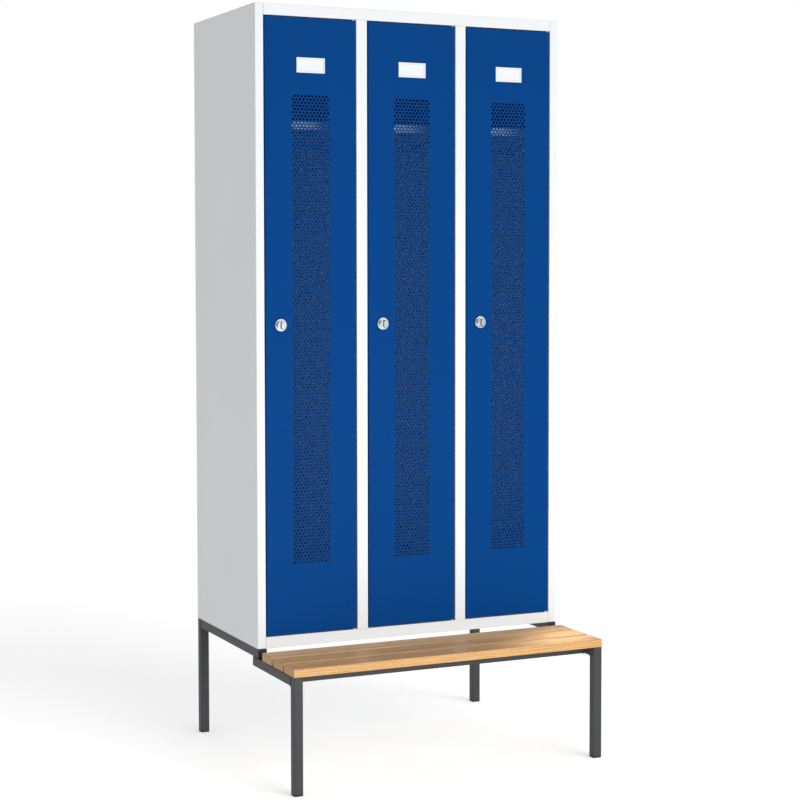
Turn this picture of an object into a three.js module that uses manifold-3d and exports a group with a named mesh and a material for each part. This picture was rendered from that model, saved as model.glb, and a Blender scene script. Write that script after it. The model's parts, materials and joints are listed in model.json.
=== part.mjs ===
// A steel clothes locker with three full-height doors, standing on a tube frame that carries a
// slatted bench in front of it. Millimetres, +Z up, the doors look towards -Y. The part stands on
// the floor at z = 0, with its origin under the middle of its overall footprint.
import * as THREE from "three";
import { mergeGeometries, mergeVertices } from "three/addons/utils/BufferGeometryUtils.js";
import Module from "manifold-3d";

const wasm = await Module();
wasm.setup();

// Locker body: the folded sheet steel carcass.
const body_width = 900;
const body_depth = 500;
const body_height = 1700;
const underside_height = 330;
const compartments = 3;
const carcass_sheet = 0.8;
const bend_inner_radius = 0.8;
const seat_gap = 0.3;
const outer_stile = 23;
const middle_stile = 31;
const stile_depth = 20;
const stile_fold_gap = 2;
const front_rail = 30;
const stop_lip = 12;
const stop_clearance = 1.5;
const rear_flange = 15;

// Inside each compartment: hat shelf, coat rail and double coat hook.
const hat_height = 300;
const shelf_flange = 20;
const shelf_setback = 40;
const coat_rail_radius = 8;
const coat_rail_wall = 1.2;
const coat_rail_drop = 30;
const hook_strap = 2.5;
const hook_strap_width = 18;
const hook_bend_radius = 7;
const hook_span = 84;
const hook_saddle = 30;
const hook_drop = 52;
const hook_prong = 24;
const hook_behind_rail = 130;

// Doors: a folded pan with a tall ventilated field, a stiffener and a label holder. The field is
// a column of full-width slots, each one standing for a row of small punched holes.
const door_sheet = 1;
const door_gap = 3;
const door_depth = 18;
const door_return = 12;
const vent_width = 108;
const vent_above_door_foot = 185;
const vent_below_door_head = 200;
const slot_height = 4.5;
const slot_pitch = 13;
const stiffener_sheet = 1;
const stiffener_crown = 26;
const stiffener_foot = 9;
const stiffener_rise = 12;
const stiffener_end_margin = 40;
const label_width = 80;
const label_height = 40;
const label_depth = 2.4;
const label_front = 1;
const label_border = 4;
const label_groove = 2;
const label_below_door_head = 124;
const card_thickness = 0.8;
const card_clearance = 0.3;

// Hinge pins: riveted into the front rails, standing in the ends of each door.
const pin_radius = 2.5;
const pin_inset = 5;
const pin_hole_clearance = 0.3;
const pin_reach = 9;
const pin_head_radius = 3.8;
const pin_head_height = 1.6;
const pin_collar_radius = 4.4;

// Rotary lock: rosette and barrel, turning knob with its spindle, and the cam behind the stile.
const lock_from_edge = 42;
const lock_above_door_foot = 825;
const rosette_radius = 17;
const rosette_depth = 4;
const rosette_chamfer = 1.2;
const barrel_radius = 9.5;
const barrel_hole_clearance = 0.3;
const spindle_radius = 6;
const spindle_clearance = 0.3;
const spindle_tip_radius = 4;
const spindle_tip_stand = 1.2;
const knob_radius = 13;
const knob_depth = 7;
const knob_chamfer = 1.5;
const grip_width = 7;
const grip_depth = 6;
const cam_thickness = 2.5;
const cam_head_radius = 10;
const cam_tip_width = 14;
const cam_overlap = 12;
const cam_clearance = 1.5;

// Under-frame: one size of square steel tube.
const tube_size = 25;
const tube_wall = 1.5;
const tube_corner = 2;
const seat_rail_lap = 40;
const seat_front_setback = 55;
const foot_height = 5;
const foot_plug_height = 18;
const foot_clearance = 0.3;

// Bench slats.
const slat_count = 3;
const slat_width = 71;
const slat_thickness = 22;
const slat_gap = 9;
const slat_edge_radius = 3;
const slat_to_locker = 31;
const slat_front_overhang = 1;

// How finely round shapes are cut, in counts, and how far a cut runs past a face.
const bend_steps = 2;
const round_sides = 12;
const lock_sides = 18;
const cut_overrun = 1;

// Worked out from the sizes above.
const half_width = body_width / 2;
const body_top = underside_height + body_height;
const opening_foot = underside_height + front_rail;
const opening_head = body_top - front_rail;
const wall_foot = underside_height + carcass_sheet + seat_gap;
const wall_head = body_top - carcass_sheet - seat_gap;
const opening_width =
  (body_width - 2 * outer_stile - (compartments - 1) * middle_stile) / compartments;
const opening_pitch = opening_width + middle_stile;
const door_width = opening_width - 2 * door_gap;
const door_foot = opening_foot + door_gap;
const door_height = opening_head - door_gap - door_foot;
const lip_line = door_depth + stop_clearance + carcass_sheet / 2;
const lip_back = lip_line + carcass_sheet / 2;
const rear_flange_line = body_depth - carcass_sheet - seat_gap - carcass_sheet / 2;
const inner_rear = rear_flange_line - carcass_sheet / 2 - seat_gap;
const pin_x = door_width / 2 - pin_inset;
const lock_x = lock_from_edge - door_width / 2;
const cam_front = Math.max(stile_depth, door_depth) + cam_clearance;
const barrel_back = cam_front - 2 * seat_gap;
const seat_frame_top = underside_height - tube_size - 2 * seat_gap;
const seat_reach = slat_to_locker + slat_count * slat_width + (slat_count - 1) * slat_gap;
const leg_front = slat_front_overhang - seat_reach;

const carcass_paint = { color: 0xd5d8d9, roughness: 0.55, metalness: 0.1 };
const door_paint = { color: 0x03529b, roughness: 0.5, metalness: 0.1 };
const frame_paint = { color: 0x3d3f42, roughness: 0.6, metalness: 0.2 };
const zinc = { color: 0xc9ccd0, roughness: 0.35, metalness: 0.9 };
const satin_chrome = { color: 0xd8dce0, roughness: 0.28, metalness: 1 };
const beech = { color: 0xd9b283, roughness: 0.6, metalness: 0 };
const white_plastic = { color: 0xeef0f0, roughness: 0.5, metalness: 0 };
const black_plastic = { color: 0x1c1d1f, roughness: 0.7, metalness: 0 };

const x_axis = new THREE.Vector3(1, 0, 0);
const y_axis = new THREE.Vector3(0, 1, 0);
const z_axis = new THREE.Vector3(0, 0, 1);

// Solids and booleans

function solidOf(geometry) {
  const bare = geometry.clone();
  bare.deleteAttribute("normal");
  bare.deleteAttribute("uv");
  const merged = mergeVertices(bare);
  const mesh = new wasm.Mesh({
    numProp: 3,
    vertProperties: merged.attributes.position.array,
    triVerts: new Uint32Array(merged.index.array),
  });
  return new wasm.Manifold(mesh);
}

function geometryOf(solid) {
  const mesh = solid.getMesh();
  const indexed = new THREE.BufferGeometry();
  indexed.setAttribute("position", new THREE.BufferAttribute(mesh.vertProperties, 3));
  indexed.setIndex(new THREE.BufferAttribute(mesh.triVerts, 1));
  const flat = indexed.toNonIndexed();
  flat.computeVertexNormals();
  return flat;
}

function cut(base, ...tools) {
  return geometryOf(solidOf(base).subtract(solidOf(mergeGeometries(tools.map(positionsOnly)))));
}

function join(first, second) {
  return geometryOf(solidOf(first).add(solidOf(second)));
}

function common(first, second) {
  return geometryOf(solidOf(first).intersect(solidOf(second)));
}

function positionsOnly(geometry) {
  const flat = geometry.index ? geometry.toNonIndexed() : geometry.clone();
  flat.deleteAttribute("normal");
  flat.deleteAttribute("uv");
  return flat;
}

function boxBetween(low, high) {
  const box = new THREE.BoxGeometry(high[0] - low[0], high[1] - low[1], high[2] - low[2]);
  return box.translate((low[0] + high[0]) / 2, (low[1] + high[1]) / 2, (low[2] + high[2]) / 2);
}

function rodAlongZ(radius, from, to, sides) {
  const rod = new THREE.CylinderGeometry(radius, radius, to - from, sides);
  return rod.rotateX(Math.PI / 2).translate(0, 0, (from + to) / 2);
}

function rodAlongY(radius, from, to, sides) {
  const rod = new THREE.CylinderGeometry(radius, radius, to - from, sides);
  return rod.translate(0, (from + to) / 2, 0);
}

// Profiles carried along an axis: the outline's two coordinates are the other two axes.

function alongZ(shape, from, to) {
  const profile = new THREE.ExtrudeGeometry(shape, extrusion(to - from));
  return profile.translate(0, 0, from);
}

function alongX(shape, from, to) {
  const profile = new THREE.ExtrudeGeometry(shape, extrusion(to - from));
  profile.applyMatrix4(new THREE.Matrix4().makeBasis(y_axis, z_axis, x_axis));
  return profile.translate(from, 0, 0);
}

function alongY(shape, from, to) {
  const profile = new THREE.ExtrudeGeometry(shape, extrusion(to - from));
  return profile.rotateX(Math.PI / 2).translate(0, to, 0);
}

function extrusion(length) {
  return { depth: length, bevelEnabled: false, curveSegments: bend_steps, steps: 1 };
}

// The middle line of a bent strip: straight runs between the corners, with an arc at each one.
function bendLine(corners, radius) {
  const line = [corners[0]];
  for (let i = 1; i < corners.length - 1; i++) {
    const along_in = corners[i].clone().sub(corners[i - 1]).normalize();
    const along_out = corners[i + 1].clone().sub(corners[i]).normalize();
    const turn = Math.atan2(along_in.cross(along_out), along_in.dot(along_out));
    const side = Math.sign(turn);
    const start = corners[i].clone().addScaledVector(along_in, -radius * Math.tan((side * turn) / 2));
    const to_centre = new THREE.Vector2(-along_in.y, along_in.x).multiplyScalar(side * radius);
    const centre = start.clone().add(to_centre);
    for (let step = 0; step <= bend_steps; step++)
      line.push(start.clone().rotateAround(centre, (turn * step) / bend_steps));
  }
  line.push(corners[corners.length - 1]);
  return line;
}

// The cross-section of sheet of one thickness bent along the corners.
function bentSheet(corner_pairs, thickness, inner_radius) {
  const corners = corner_pairs.map(([x, y]) => new THREE.Vector2(x, y));
  const line = bendLine(corners, inner_radius + thickness / 2);
  const sideOf = (sign) =>
    line.map((point, i) => {
      const before = line[Math.max(i - 1, 0)];
      const after = line[Math.min(i + 1, line.length - 1)];
      const along_in = (i > 0 ? point.clone().sub(before) : after.clone().sub(point)).normalize();
      const along_out = (i < line.length - 1 ? after.clone().sub(point) : along_in.clone()).normalize();
      const mean = along_in.clone().add(along_out).normalize();
      const mitre = thickness / 2 / mean.dot(along_in);
      return new THREE.Vector2(point.x - mean.y * mitre * sign, point.y + mean.x * mitre * sign);
    });
  return new THREE.Shape([...sideOf(1), ...sideOf(-1).reverse()]);
}

function roundedRectangle(width, height, radius) {
  const x = width / 2;
  const y = height / 2;
  const shape = new THREE.Shape();
  shape.absarc(x - radius, y - radius, radius, 0, Math.PI / 2);
  shape.absarc(radius - x, y - radius, radius, Math.PI / 2, Math.PI);
  shape.absarc(radius - x, radius - y, radius, Math.PI, 1.5 * Math.PI);
  shape.absarc(x - radius, radius - y, radius, 1.5 * Math.PI, 2 * Math.PI);
  return shape;
}

// A block under z = 0 whose four upper edges are rounded, from two crossed profiles.
function crownedBlock(x_span, y_span, depth_span, radius) {
  const section = ([low, high]) => {
    const shape = new THREE.Shape();
    shape.moveTo(low, -depth_span[1]);
    shape.lineTo(high, -depth_span[1]);
    shape.absarc(high - radius, -depth_span[0] - radius, radius, 0, Math.PI / 2);
    shape.absarc(low + radius, -depth_span[0] - radius, radius, Math.PI / 2, Math.PI);
    return shape;
  };
  return common(alongY(section(x_span), ...y_span), alongX(section(y_span), ...x_span));
}

// A tray folded from one sheet: its face is at z = 0, its walls stand down from there, and each
// wall may turn in again as a lip. It is centred in x and runs from y = 0 to its length.
function foldedTray(width, length, depth, sheet, lip) {
  const outer = crownedBlock([-width / 2, width / 2], [0, length], [0, depth], bend_inner_radius + sheet);
  const cavity_depth = lip > 0 ? depth - sheet : depth + cut_overrun;
  const cavity = crownedBlock(
    [sheet - width / 2, width / 2 - sheet],
    [sheet, length - sheet],
    [sheet, cavity_depth],
    bend_inner_radius,
  );
  const pan = cut(outer, cavity);
  if (lip === 0) return pan;
  const mouth = boxBetween(
    [lip - width / 2, lip, -depth - cut_overrun],
    [width / 2 - lip, length - lip, -depth + sheet + cut_overrun],
  );
  return cut(pan, mouth);
}

// A turned piece about the Y axis, from its profile of radius and place along the axis.
function turned(profile_pairs, sides) {
  const points = profile_pairs.map(([radius, y]) => new THREE.Vector2(radius, y));
  return new THREE.LatheGeometry(points, sides);
}

// Where things are across the locker

function openingCentre(index) {
  return (index - (compartments - 1) / 2) * opening_pitch;
}

function partitionCentre(index) {
  return openingCentre(index) + opening_pitch / 2;
}

// The two faces that a compartment's inner width lies between.
function wallFaces(index) {
  const left = index === 0 ? carcass_sheet - half_width : partitionCentre(index - 1) + carcass_sheet / 2;
  const right =
    index === compartments - 1 ? half_width - carcass_sheet : partitionCentre(index) - carcass_sheet / 2;
  return [left, right];
}

const locker = new THREE.Group();
locker.position.y = (seat_reach - body_depth) / 2;

function place(name, geometry, look, group = locker) {
  const piece = new THREE.Mesh(geometry, new THREE.MeshStandardMaterial(look));
  piece.name = name;
  group.add(piece);
  return piece;
}

// Carcass

// One sheet: rear flange, side wall and a closed box stile at the front.
function sidePanel(side) {
  const half_sheet = carcass_sheet / 2;
  const stile_back = stile_depth - half_sheet;
  const inward = [
    [rear_flange, rear_flange_line],
    [half_sheet, rear_flange_line],
    [half_sheet, half_sheet],
    [outer_stile - half_sheet, half_sheet],
    [outer_stile - half_sheet, stile_back],
    [carcass_sheet + stile_fold_gap, stile_back],
  ];
  const across = inward.map(([inset, y]) => [side * (half_width - inset), y]);
  return alongZ(bentSheet(across, carcass_sheet, bend_inner_radius), wall_foot, wall_head);
}

// One sheet: rear flange, web and a box stile that the sheet runs round, back to the web. The
// stile ends between the front rails, and the web passes behind them.
function partition() {
  const half_sheet = carcass_sheet / 2;
  const stile_half = middle_stile / 2 - half_sheet;
  const stile_back = stile_depth - half_sheet;
  const path = [
    [rear_flange, rear_flange_line],
    [0, rear_flange_line],
    [0, stile_back],
    [-stile_half, stile_back],
    [-stile_half, half_sheet],
    [stile_half, half_sheet],
    [stile_half, stile_back],
    [half_sheet + stile_fold_gap, stile_back],
  ];
  const sheet = alongZ(bentSheet(path, carcass_sheet, bend_inner_radius), wall_foot, wall_head);
  const notch = (low, high) =>
    boxBetween(
      [-middle_stile, -cut_overrun, low],
      [middle_stile, Math.max(lip_back, stile_depth) + seat_gap, high],
    );
  return cut(
    sheet,
    notch(wall_foot - cut_overrun, opening_foot + seat_gap),
    notch(opening_head - seat_gap, wall_head + cut_overrun),
  );
}

// Top or bottom panel: one sheet over the whole footprint, whose front edge is folded into the
// front rail and ends in the lip that the closed door stops on. up is 1 for the top panel.
function railPanel(up) {
  const half_sheet = carcass_sheet / 2;
  const outer_face = up > 0 ? body_top : underside_height;
  const rail_face = up > 0 ? opening_head : opening_foot;
  const panel_line = outer_face - up * half_sheet;
  const rail_line = rail_face + up * half_sheet;
  const lip_end = rail_face - up * stop_lip;
  const path = [
    [body_depth, panel_line],
    [half_sheet, panel_line],
    [half_sheet, rail_line],
    [lip_line, rail_line],
    [lip_line, lip_end],
  ];
  const sheet = alongX(bentSheet(path, carcass_sheet, bend_inner_radius), -half_width, half_width);
  const heights = (first, second) => [Math.min(first, second), Math.max(first, second)];
  const cuts = [];
  const [end_low, end_high] = heights(lip_end - up * cut_overrun, outer_face - up * carcass_sheet);
  for (const side of [-1, 1]) {
    const near = side * (half_width - outer_stile - seat_gap);
    const far = side * (half_width + cut_overrun);
    const [left, right] = heights(near, far);
    cuts.push(boxBetween([left, -cut_overrun, end_low], [right, lip_back + cut_overrun, end_high]));
  }
  const [lip_low, lip_high] = heights(lip_end - up * cut_overrun, rail_face);
  for (let i = 0; i < compartments - 1; i++) {
    const reach = middle_stile / 2 + seat_gap;
    const centre = partitionCentre(i);
    const rail_back = Math.min(door_depth, stile_depth) / 2;
    cuts.push(
      boxBetween([centre - reach, rail_back, lip_low], [centre + reach, lip_back + cut_overrun, lip_high]),
    );
  }
  const hole_top = rail_face + up * (carcass_sheet + cut_overrun);
  const [hole_low, hole_high] = heights(rail_face - up * cut_overrun, hole_top);
  for (let i = 0; i < compartments; i++) {
    const hole = rodAlongZ(pin_radius + pin_hole_clearance, hole_low, hole_high, round_sides);
    cuts.push(hole.translate(openingCentre(i) + pin_x, pin_inset, 0));
  }
  return cut(sheet, ...cuts);
}

place("side_panel_left", sidePanel(-1), carcass_paint);
place("side_panel_right", sidePanel(1), carcass_paint);
for (let i = 0; i < compartments - 1; i++)
  place(`partition_${i + 1}`, partition(), carcass_paint).position.x = partitionCentre(i);
place("top_panel", railPanel(1), carcass_paint);
place("bottom_panel", railPanel(-1), carcass_paint);
place(
  "back_panel",
  boxBetween([-half_width, body_depth - carcass_sheet, wall_foot], [half_width, body_depth, wall_head]),
  carcass_paint,
);

// Compartment fittings

const shelf_top = body_top - carcass_sheet - hat_height;
const shelf_front = Math.max(stile_depth, lip_back) + shelf_setback;
const coat_rail_y = (shelf_front + inner_rear) / 2;
const coat_rail_z = shelf_top - shelf_flange - coat_rail_drop;

function hatShelf(left, right) {
  return foldedTray(right - left - 2 * seat_gap, inner_rear - shelf_front, shelf_flange, carcass_sheet, 0);
}

function coatRail(left, right) {
  const ring = new THREE.Shape();
  ring.absarc(0, 0, coat_rail_radius, 0, 2 * Math.PI);
  const bore = new THREE.Path();
  bore.absarc(0, 0, coat_rail_radius - coat_rail_wall, 0, 2 * Math.PI);
  ring.holes.push(bore);
  const tube = new THREE.ExtrudeGeometry(ring, {
    depth: right - left - 2 * seat_gap,
    bevelEnabled: false,
    curveSegments: round_sides / 2,
  });
  tube.applyMatrix4(new THREE.Matrix4().makeBasis(y_axis, z_axis, x_axis));
  return tube.translate(left + seat_gap, 0, 0);
}

// A strap bent into a saddle with a prong on each side, seen from the front of the locker. Its
// saddle's upper face is at z = 0.
function coatHook() {
  const half_strap = hook_strap / 2;
  const low = -hook_drop + half_strap;
  const path = [
    [-hook_span / 2 + half_strap, low + hook_prong],
    [-hook_span / 2 + half_strap, low],
    [-hook_saddle / 2, low],
    [-hook_saddle / 2, -half_strap],
    [hook_saddle / 2, -half_strap],
    [hook_saddle / 2, low],
    [hook_span / 2 - half_strap, low],
    [hook_span / 2 - half_strap, low + hook_prong],
  ];
  const strap = bentSheet(path, hook_strap, hook_bend_radius);
  return alongY(strap, -hook_strap_width / 2, hook_strap_width / 2);
}

for (let i = 0; i < compartments; i++) {
  const [left, right] = wallFaces(i);
  const middle = (left + right) / 2;
  const shelf = place(`hat_shelf_${i + 1}`, hatShelf(left, right), carcass_paint);
  shelf.position.set(middle, shelf_front, shelf_top);
  const rail = place(`coat_rail_${i + 1}`, coatRail(left, right), zinc);
  rail.position.set(0, coat_rail_y, coat_rail_z);
  const hook = place(`coat_hook_${i + 1}`, coatHook(), zinc);
  hook.position.set(middle, coat_rail_y + hook_behind_rail, shelf_top - carcass_sheet - seat_gap);
}

// Doors, with y = 0 at the face, x = 0 on the middle and z = 0 at the foot of each one

function ventSlots() {
  const field_height = door_height - vent_above_door_foot - vent_below_door_head;
  const rows = Math.floor((field_height - slot_height) / slot_pitch) + 1;
  const first_row = vent_above_door_foot + (field_height - (rows - 1) * slot_pitch) / 2;
  return Array.from({ length: rows }, (_, row) => {
    const y = first_row + row * slot_pitch;
    return boxBetween(
      [-vent_width / 2, y - slot_height / 2, -door_sheet - cut_overrun],
      [vent_width / 2, y + slot_height / 2, cut_overrun],
    );
  });
}

// The door pan lies face up while it is made, with its foot at y = 0.
function doorSkin() {
  const pan = foldedTray(door_width, door_height, door_depth, door_sheet, door_return);
  const pinHole = (from, to) =>
    rodAlongY(pin_radius + pin_hole_clearance, from, to, round_sides).translate(pin_x, 0, -pin_inset);
  const barrelHole = rodAlongZ(
    barrel_radius + barrel_hole_clearance,
    -door_sheet - cut_overrun,
    cut_overrun,
    lock_sides,
  ).translate(lock_x, lock_above_door_foot, 0);
  return cut(
    pan,
    ...ventSlots(),
    pinHole(-cut_overrun, door_sheet + cut_overrun),
    pinHole(door_height - door_sheet - cut_overrun, door_height + cut_overrun),
    barrelHole,
  );
}

// A hat-section channel spot-welded behind the face, between the vent and the hinge side.
function doorStiffener() {
  const foot_line = door_sheet + seat_gap + stiffener_sheet / 2;
  const crown_line = foot_line + stiffener_rise;
  const crown_half = stiffener_crown / 2;
  const path = [
    [-crown_half - stiffener_foot, foot_line],
    [-crown_half, foot_line],
    [-crown_half, crown_line],
    [crown_half, crown_line],
    [crown_half, foot_line],
    [crown_half + stiffener_foot, foot_line],
  ];
  const channel = bentSheet(path, stiffener_sheet, bend_inner_radius);
  return alongZ(channel, stiffener_end_margin, door_height - stiffener_end_margin);
}

// A frame that the card slides into from above: a front lip over a groove on three sides.
function labelHolder() {
  const x = label_width / 2;
  const z = label_height / 2;
  const back = -seat_gap;
  const front = back - label_depth;
  const plate = boxBetween([-x, front, -z], [x, back, z]);
  const window_cut = boxBetween(
    [label_border - x, front - cut_overrun, label_border - z],
    [x - label_border, back + cut_overrun, z - label_border],
  );
  const groove_cut = boxBetween(
    [label_groove - x, front + label_front, label_groove - z],
    [x - label_groove, back + cut_overrun, z + cut_overrun],
  );
  return cut(cut(plate, window_cut), groove_cut);
}

function labelCard() {
  const x = label_width / 2 - label_groove - card_clearance;
  const z = label_height / 2 - label_groove - card_clearance;
  const front = -seat_gap - label_depth + label_front + card_clearance;
  return boxBetween([-x, front, -z], [x, front + card_thickness, z]);
}

function lockHousing() {
  const bore = spindle_radius + spindle_clearance;
  return turned(
    [
      [bore, -rosette_depth],
      [rosette_radius - rosette_chamfer, -rosette_depth],
      [rosette_radius, rosette_chamfer - rosette_depth],
      [rosette_radius, -seat_gap],
      [barrel_radius, -seat_gap],
      [barrel_radius, barrel_back],
      [bore, barrel_back],
      [bore, -rosette_depth],
    ],
    lock_sides,
  );
}

function lockKnob() {
  const knob_back = -rosette_depth - seat_gap;
  const knob_front = knob_back - knob_depth;
  const shoulder = barrel_back + seat_gap;
  const tip = cam_front + cam_thickness + spindle_tip_stand;
  const turned_part = turned(
    [
      [0, knob_front],
      [knob_radius - knob_chamfer, knob_front],
      [knob_radius, knob_front + knob_chamfer],
      [knob_radius, knob_back],
      [spindle_radius, knob_back],
      [spindle_radius, shoulder],
      [spindle_tip_radius, shoulder],
      [spindle_tip_radius, tip],
      [0, tip],
    ],
    lock_sides,
  );
  const grip_reach = knob_radius - knob_chamfer;
  const grip = boxBetween(
    [-grip_width / 2, knob_front - grip_depth, -grip_reach],
    [grip_width / 2, knob_front + knob_chamfer, grip_reach],
  );
  return join(turned_part, grip);
}

// The cam hangs from the spindle at rest, and reaches behind the stile when it is turned.
function lockCam() {
  const reach = lock_from_edge + door_gap + cam_overlap;
  const tip_half = cam_tip_width / 2;
  const outline = new THREE.Shape();
  outline.absarc(0, 0, cam_head_radius, 0, Math.PI);
  outline.absarc(0, tip_half - reach, tip_half, Math.PI, 2 * Math.PI);
  const hole = new THREE.Path();
  hole.absarc(0, 0, spindle_tip_radius + spindle_clearance, 0, 2 * Math.PI);
  outline.holes.push(hole);
  const plate = new THREE.ExtrudeGeometry(outline, {
    depth: cam_thickness,
    bevelEnabled: false,
    curveSegments: round_sides / 2,
  });
  return plate.rotateX(Math.PI / 2).translate(0, cam_front + cam_thickness, 0);
}

// Half profiles of the two pins, from the tip in the door to the head behind the rail's sheet.
function hingePin(with_collar) {
  const head_under = door_gap + carcass_sheet + seat_gap;
  const profile = [
    [0, -pin_reach],
    [pin_radius, -pin_reach],
  ];
  if (with_collar)
    profile.push(
      [pin_radius, seat_gap],
      [pin_collar_radius, seat_gap],
      [pin_collar_radius, door_gap - seat_gap],
      [pin_radius, door_gap - seat_gap],
    );
  profile.push(
    [pin_radius, head_under],
    [pin_head_radius, head_under],
    [pin_head_radius, head_under + pin_head_height],
    [0, head_under + pin_head_height],
  );
  return turned(profile, round_sides);
}

const door_skin = doorSkin();
for (let i = 0; i < compartments; i++) {
  const door = new THREE.Group();
  door.position.set(openingCentre(i), 0, door_foot);
  locker.add(door);
  const number = i + 1;
  place(`door_skin_${number}`, door_skin, door_paint, door).rotation.x = Math.PI / 2;
  const stiffener = place(`door_stiffener_${number}`, doorStiffener(), door_paint, door);
  stiffener.position.x = (vent_width / 2 + door_width / 2 - door_return) / 2;
  const label_z = door_height - label_below_door_head;
  place(`label_holder_${number}`, labelHolder(), white_plastic, door).position.z = label_z;
  place(`label_card_${number}`, labelCard(), white_plastic, door).position.z = label_z;
  const lock = new THREE.Group();
  lock.position.set(lock_x, 0, lock_above_door_foot);
  door.add(lock);
  place(`lock_housing_${number}`, lockHousing(), satin_chrome, lock);
  place(`lock_knob_${number}`, lockKnob(), satin_chrome, lock);
  place(`lock_cam_${number}`, lockCam(), zinc, lock);
  const top_pin = place(`hinge_pin_top_${number}`, hingePin(false), zinc, door);
  top_pin.position.set(pin_x, pin_inset, door_height);
  top_pin.rotation.x = Math.PI / 2;
  const bottom_pin = place(`hinge_pin_bottom_${number}`, hingePin(true), zinc, door);
  bottom_pin.position.set(pin_x, pin_inset, 0);
  bottom_pin.rotation.x = -Math.PI / 2;
}

// Under-frame and bench

function tubeSection() {
  const section = roundedRectangle(tube_size, tube_size, tube_corner);
  const half_bore = tube_size / 2 - tube_wall;
  const bore = new THREE.Path();
  bore.moveTo(-half_bore, -half_bore);
  bore.lineTo(half_bore, -half_bore);
  bore.lineTo(half_bore, half_bore);
  bore.lineTo(-half_bore, half_bore);
  bore.closePath();
  section.holes.push(bore);
  return section;
}

const tube_section = tubeSection();
const half_tube = tube_size / 2;
const leg_foot = foot_height + seat_gap;
const rail_z = underside_height - seat_gap - half_tube;
const seat_rail_z = seat_frame_top - half_tube;
const cross_reach = half_width - tube_size - seat_gap;
const leg_x = half_width - half_tube;
const rear_leg_y = body_depth - half_tube;
const front_leg_y = leg_front + half_tube;

// A plastic glide: a cap the size of the tube with a plug that stands in its bore.
function foot() {
  const cap = alongZ(roundedRectangle(tube_size, tube_size, tube_corner), 0, foot_height);
  const reach = half_tube - tube_wall - foot_clearance;
  const plug_head = foot_height + foot_plug_height;
  return join(cap, boxBetween([-reach, -reach, foot_height / 2], [reach, reach, plug_head]));
}

for (const [end, side] of [
  ["left", -1],
  ["right", 1],
]) {
  const rear_leg = alongZ(tube_section, leg_foot, underside_height - seat_gap);
  place(`rear_leg_${end}`, rear_leg, frame_paint).position.set(side * leg_x, rear_leg_y, 0);
  const front_leg = alongZ(tube_section, leg_foot, seat_frame_top);
  place(`front_leg_${end}`, front_leg, frame_paint).position.set(side * leg_x, front_leg_y, 0);
  const locker_rail = alongY(tube_section, 0, body_depth - tube_size - seat_gap);
  place(`locker_rail_${end}`, locker_rail, frame_paint).position.set(side * leg_x, 0, rail_z);
  const seat_rail = alongY(tube_section, leg_front + tube_size + seat_gap, seat_rail_lap);
  place(`seat_rail_${end}`, seat_rail, frame_paint).position.set(side * leg_x, 0, seat_rail_z);
  place(`foot_rear_${end}`, foot(), black_plastic).position.set(side * leg_x, rear_leg_y, 0);
  place(`foot_front_${end}`, foot(), black_plastic).position.set(side * leg_x, front_leg_y, 0);
}

// The cross tubes join the legs at the back and the seat rails under the front slat.
const cross_tube = alongX(tube_section, -cross_reach, cross_reach);
place("rear_cross_tube", cross_tube, frame_paint).position.set(0, rear_leg_y, rail_z);
const seat_front_rail = place("seat_front_rail", cross_tube, frame_paint);
seat_front_rail.position.set(0, front_leg_y + seat_front_setback, seat_rail_z);

const slat_section = roundedRectangle(slat_width, slat_thickness, slat_edge_radius);
for (let i = 0; i < slat_count; i++) {
  const slat = place(`seat_slat_${i + 1}`, alongX(slat_section, -half_width, half_width), beech);
  const from_locker = slat_to_locker + i * (slat_width + slat_gap) + slat_width / 2;
  slat.position.set(0, -from_locker, seat_frame_top + seat_gap + slat_thickness / 2);
}

export default locker;
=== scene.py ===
import json
import math

import bmesh
import bpy
import numpy as np
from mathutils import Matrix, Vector
from mathutils.geometry import delaunay_2d_cdt


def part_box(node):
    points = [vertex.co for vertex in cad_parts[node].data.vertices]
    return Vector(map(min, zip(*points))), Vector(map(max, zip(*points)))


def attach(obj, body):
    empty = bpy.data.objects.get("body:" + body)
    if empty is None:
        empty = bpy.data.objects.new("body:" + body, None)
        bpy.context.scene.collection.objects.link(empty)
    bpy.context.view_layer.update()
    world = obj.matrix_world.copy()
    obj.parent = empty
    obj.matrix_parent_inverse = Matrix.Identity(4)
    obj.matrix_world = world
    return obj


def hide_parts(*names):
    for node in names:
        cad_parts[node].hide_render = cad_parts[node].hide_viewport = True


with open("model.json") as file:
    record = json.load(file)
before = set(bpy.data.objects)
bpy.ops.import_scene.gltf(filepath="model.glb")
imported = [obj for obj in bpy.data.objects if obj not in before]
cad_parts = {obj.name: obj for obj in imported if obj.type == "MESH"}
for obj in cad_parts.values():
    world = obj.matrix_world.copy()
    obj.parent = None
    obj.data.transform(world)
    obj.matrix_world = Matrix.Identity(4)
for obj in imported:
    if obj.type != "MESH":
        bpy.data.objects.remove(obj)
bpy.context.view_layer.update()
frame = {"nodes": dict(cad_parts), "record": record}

bl_info = {
    "name": "Clothes locker with bench",
    "version": (1, 0, 0),
    "blender": (4, 5, 0),
    "location": "3D View > Sidebar > Locker",
    "description": "Dresses a steel clothes locker and its bench with their finished surfaces",
    "category": "Object",
}

MM = 0.001
RECORD = frame["record"]
NODE_BODY = {node: body for body, nodes in RECORD["behaviour"]["bodies"].items() for node in nodes}
NODE_SLOT = {part["node"]: part["material_slot"] for part in RECORD["subparts"]}
SIDES = (("left", -1), ("right", 1))
X, Y, Z = 0, 1, 2
SAME_PLACE = 0.001 * MM


# Sizes and colours that a user would change

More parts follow.
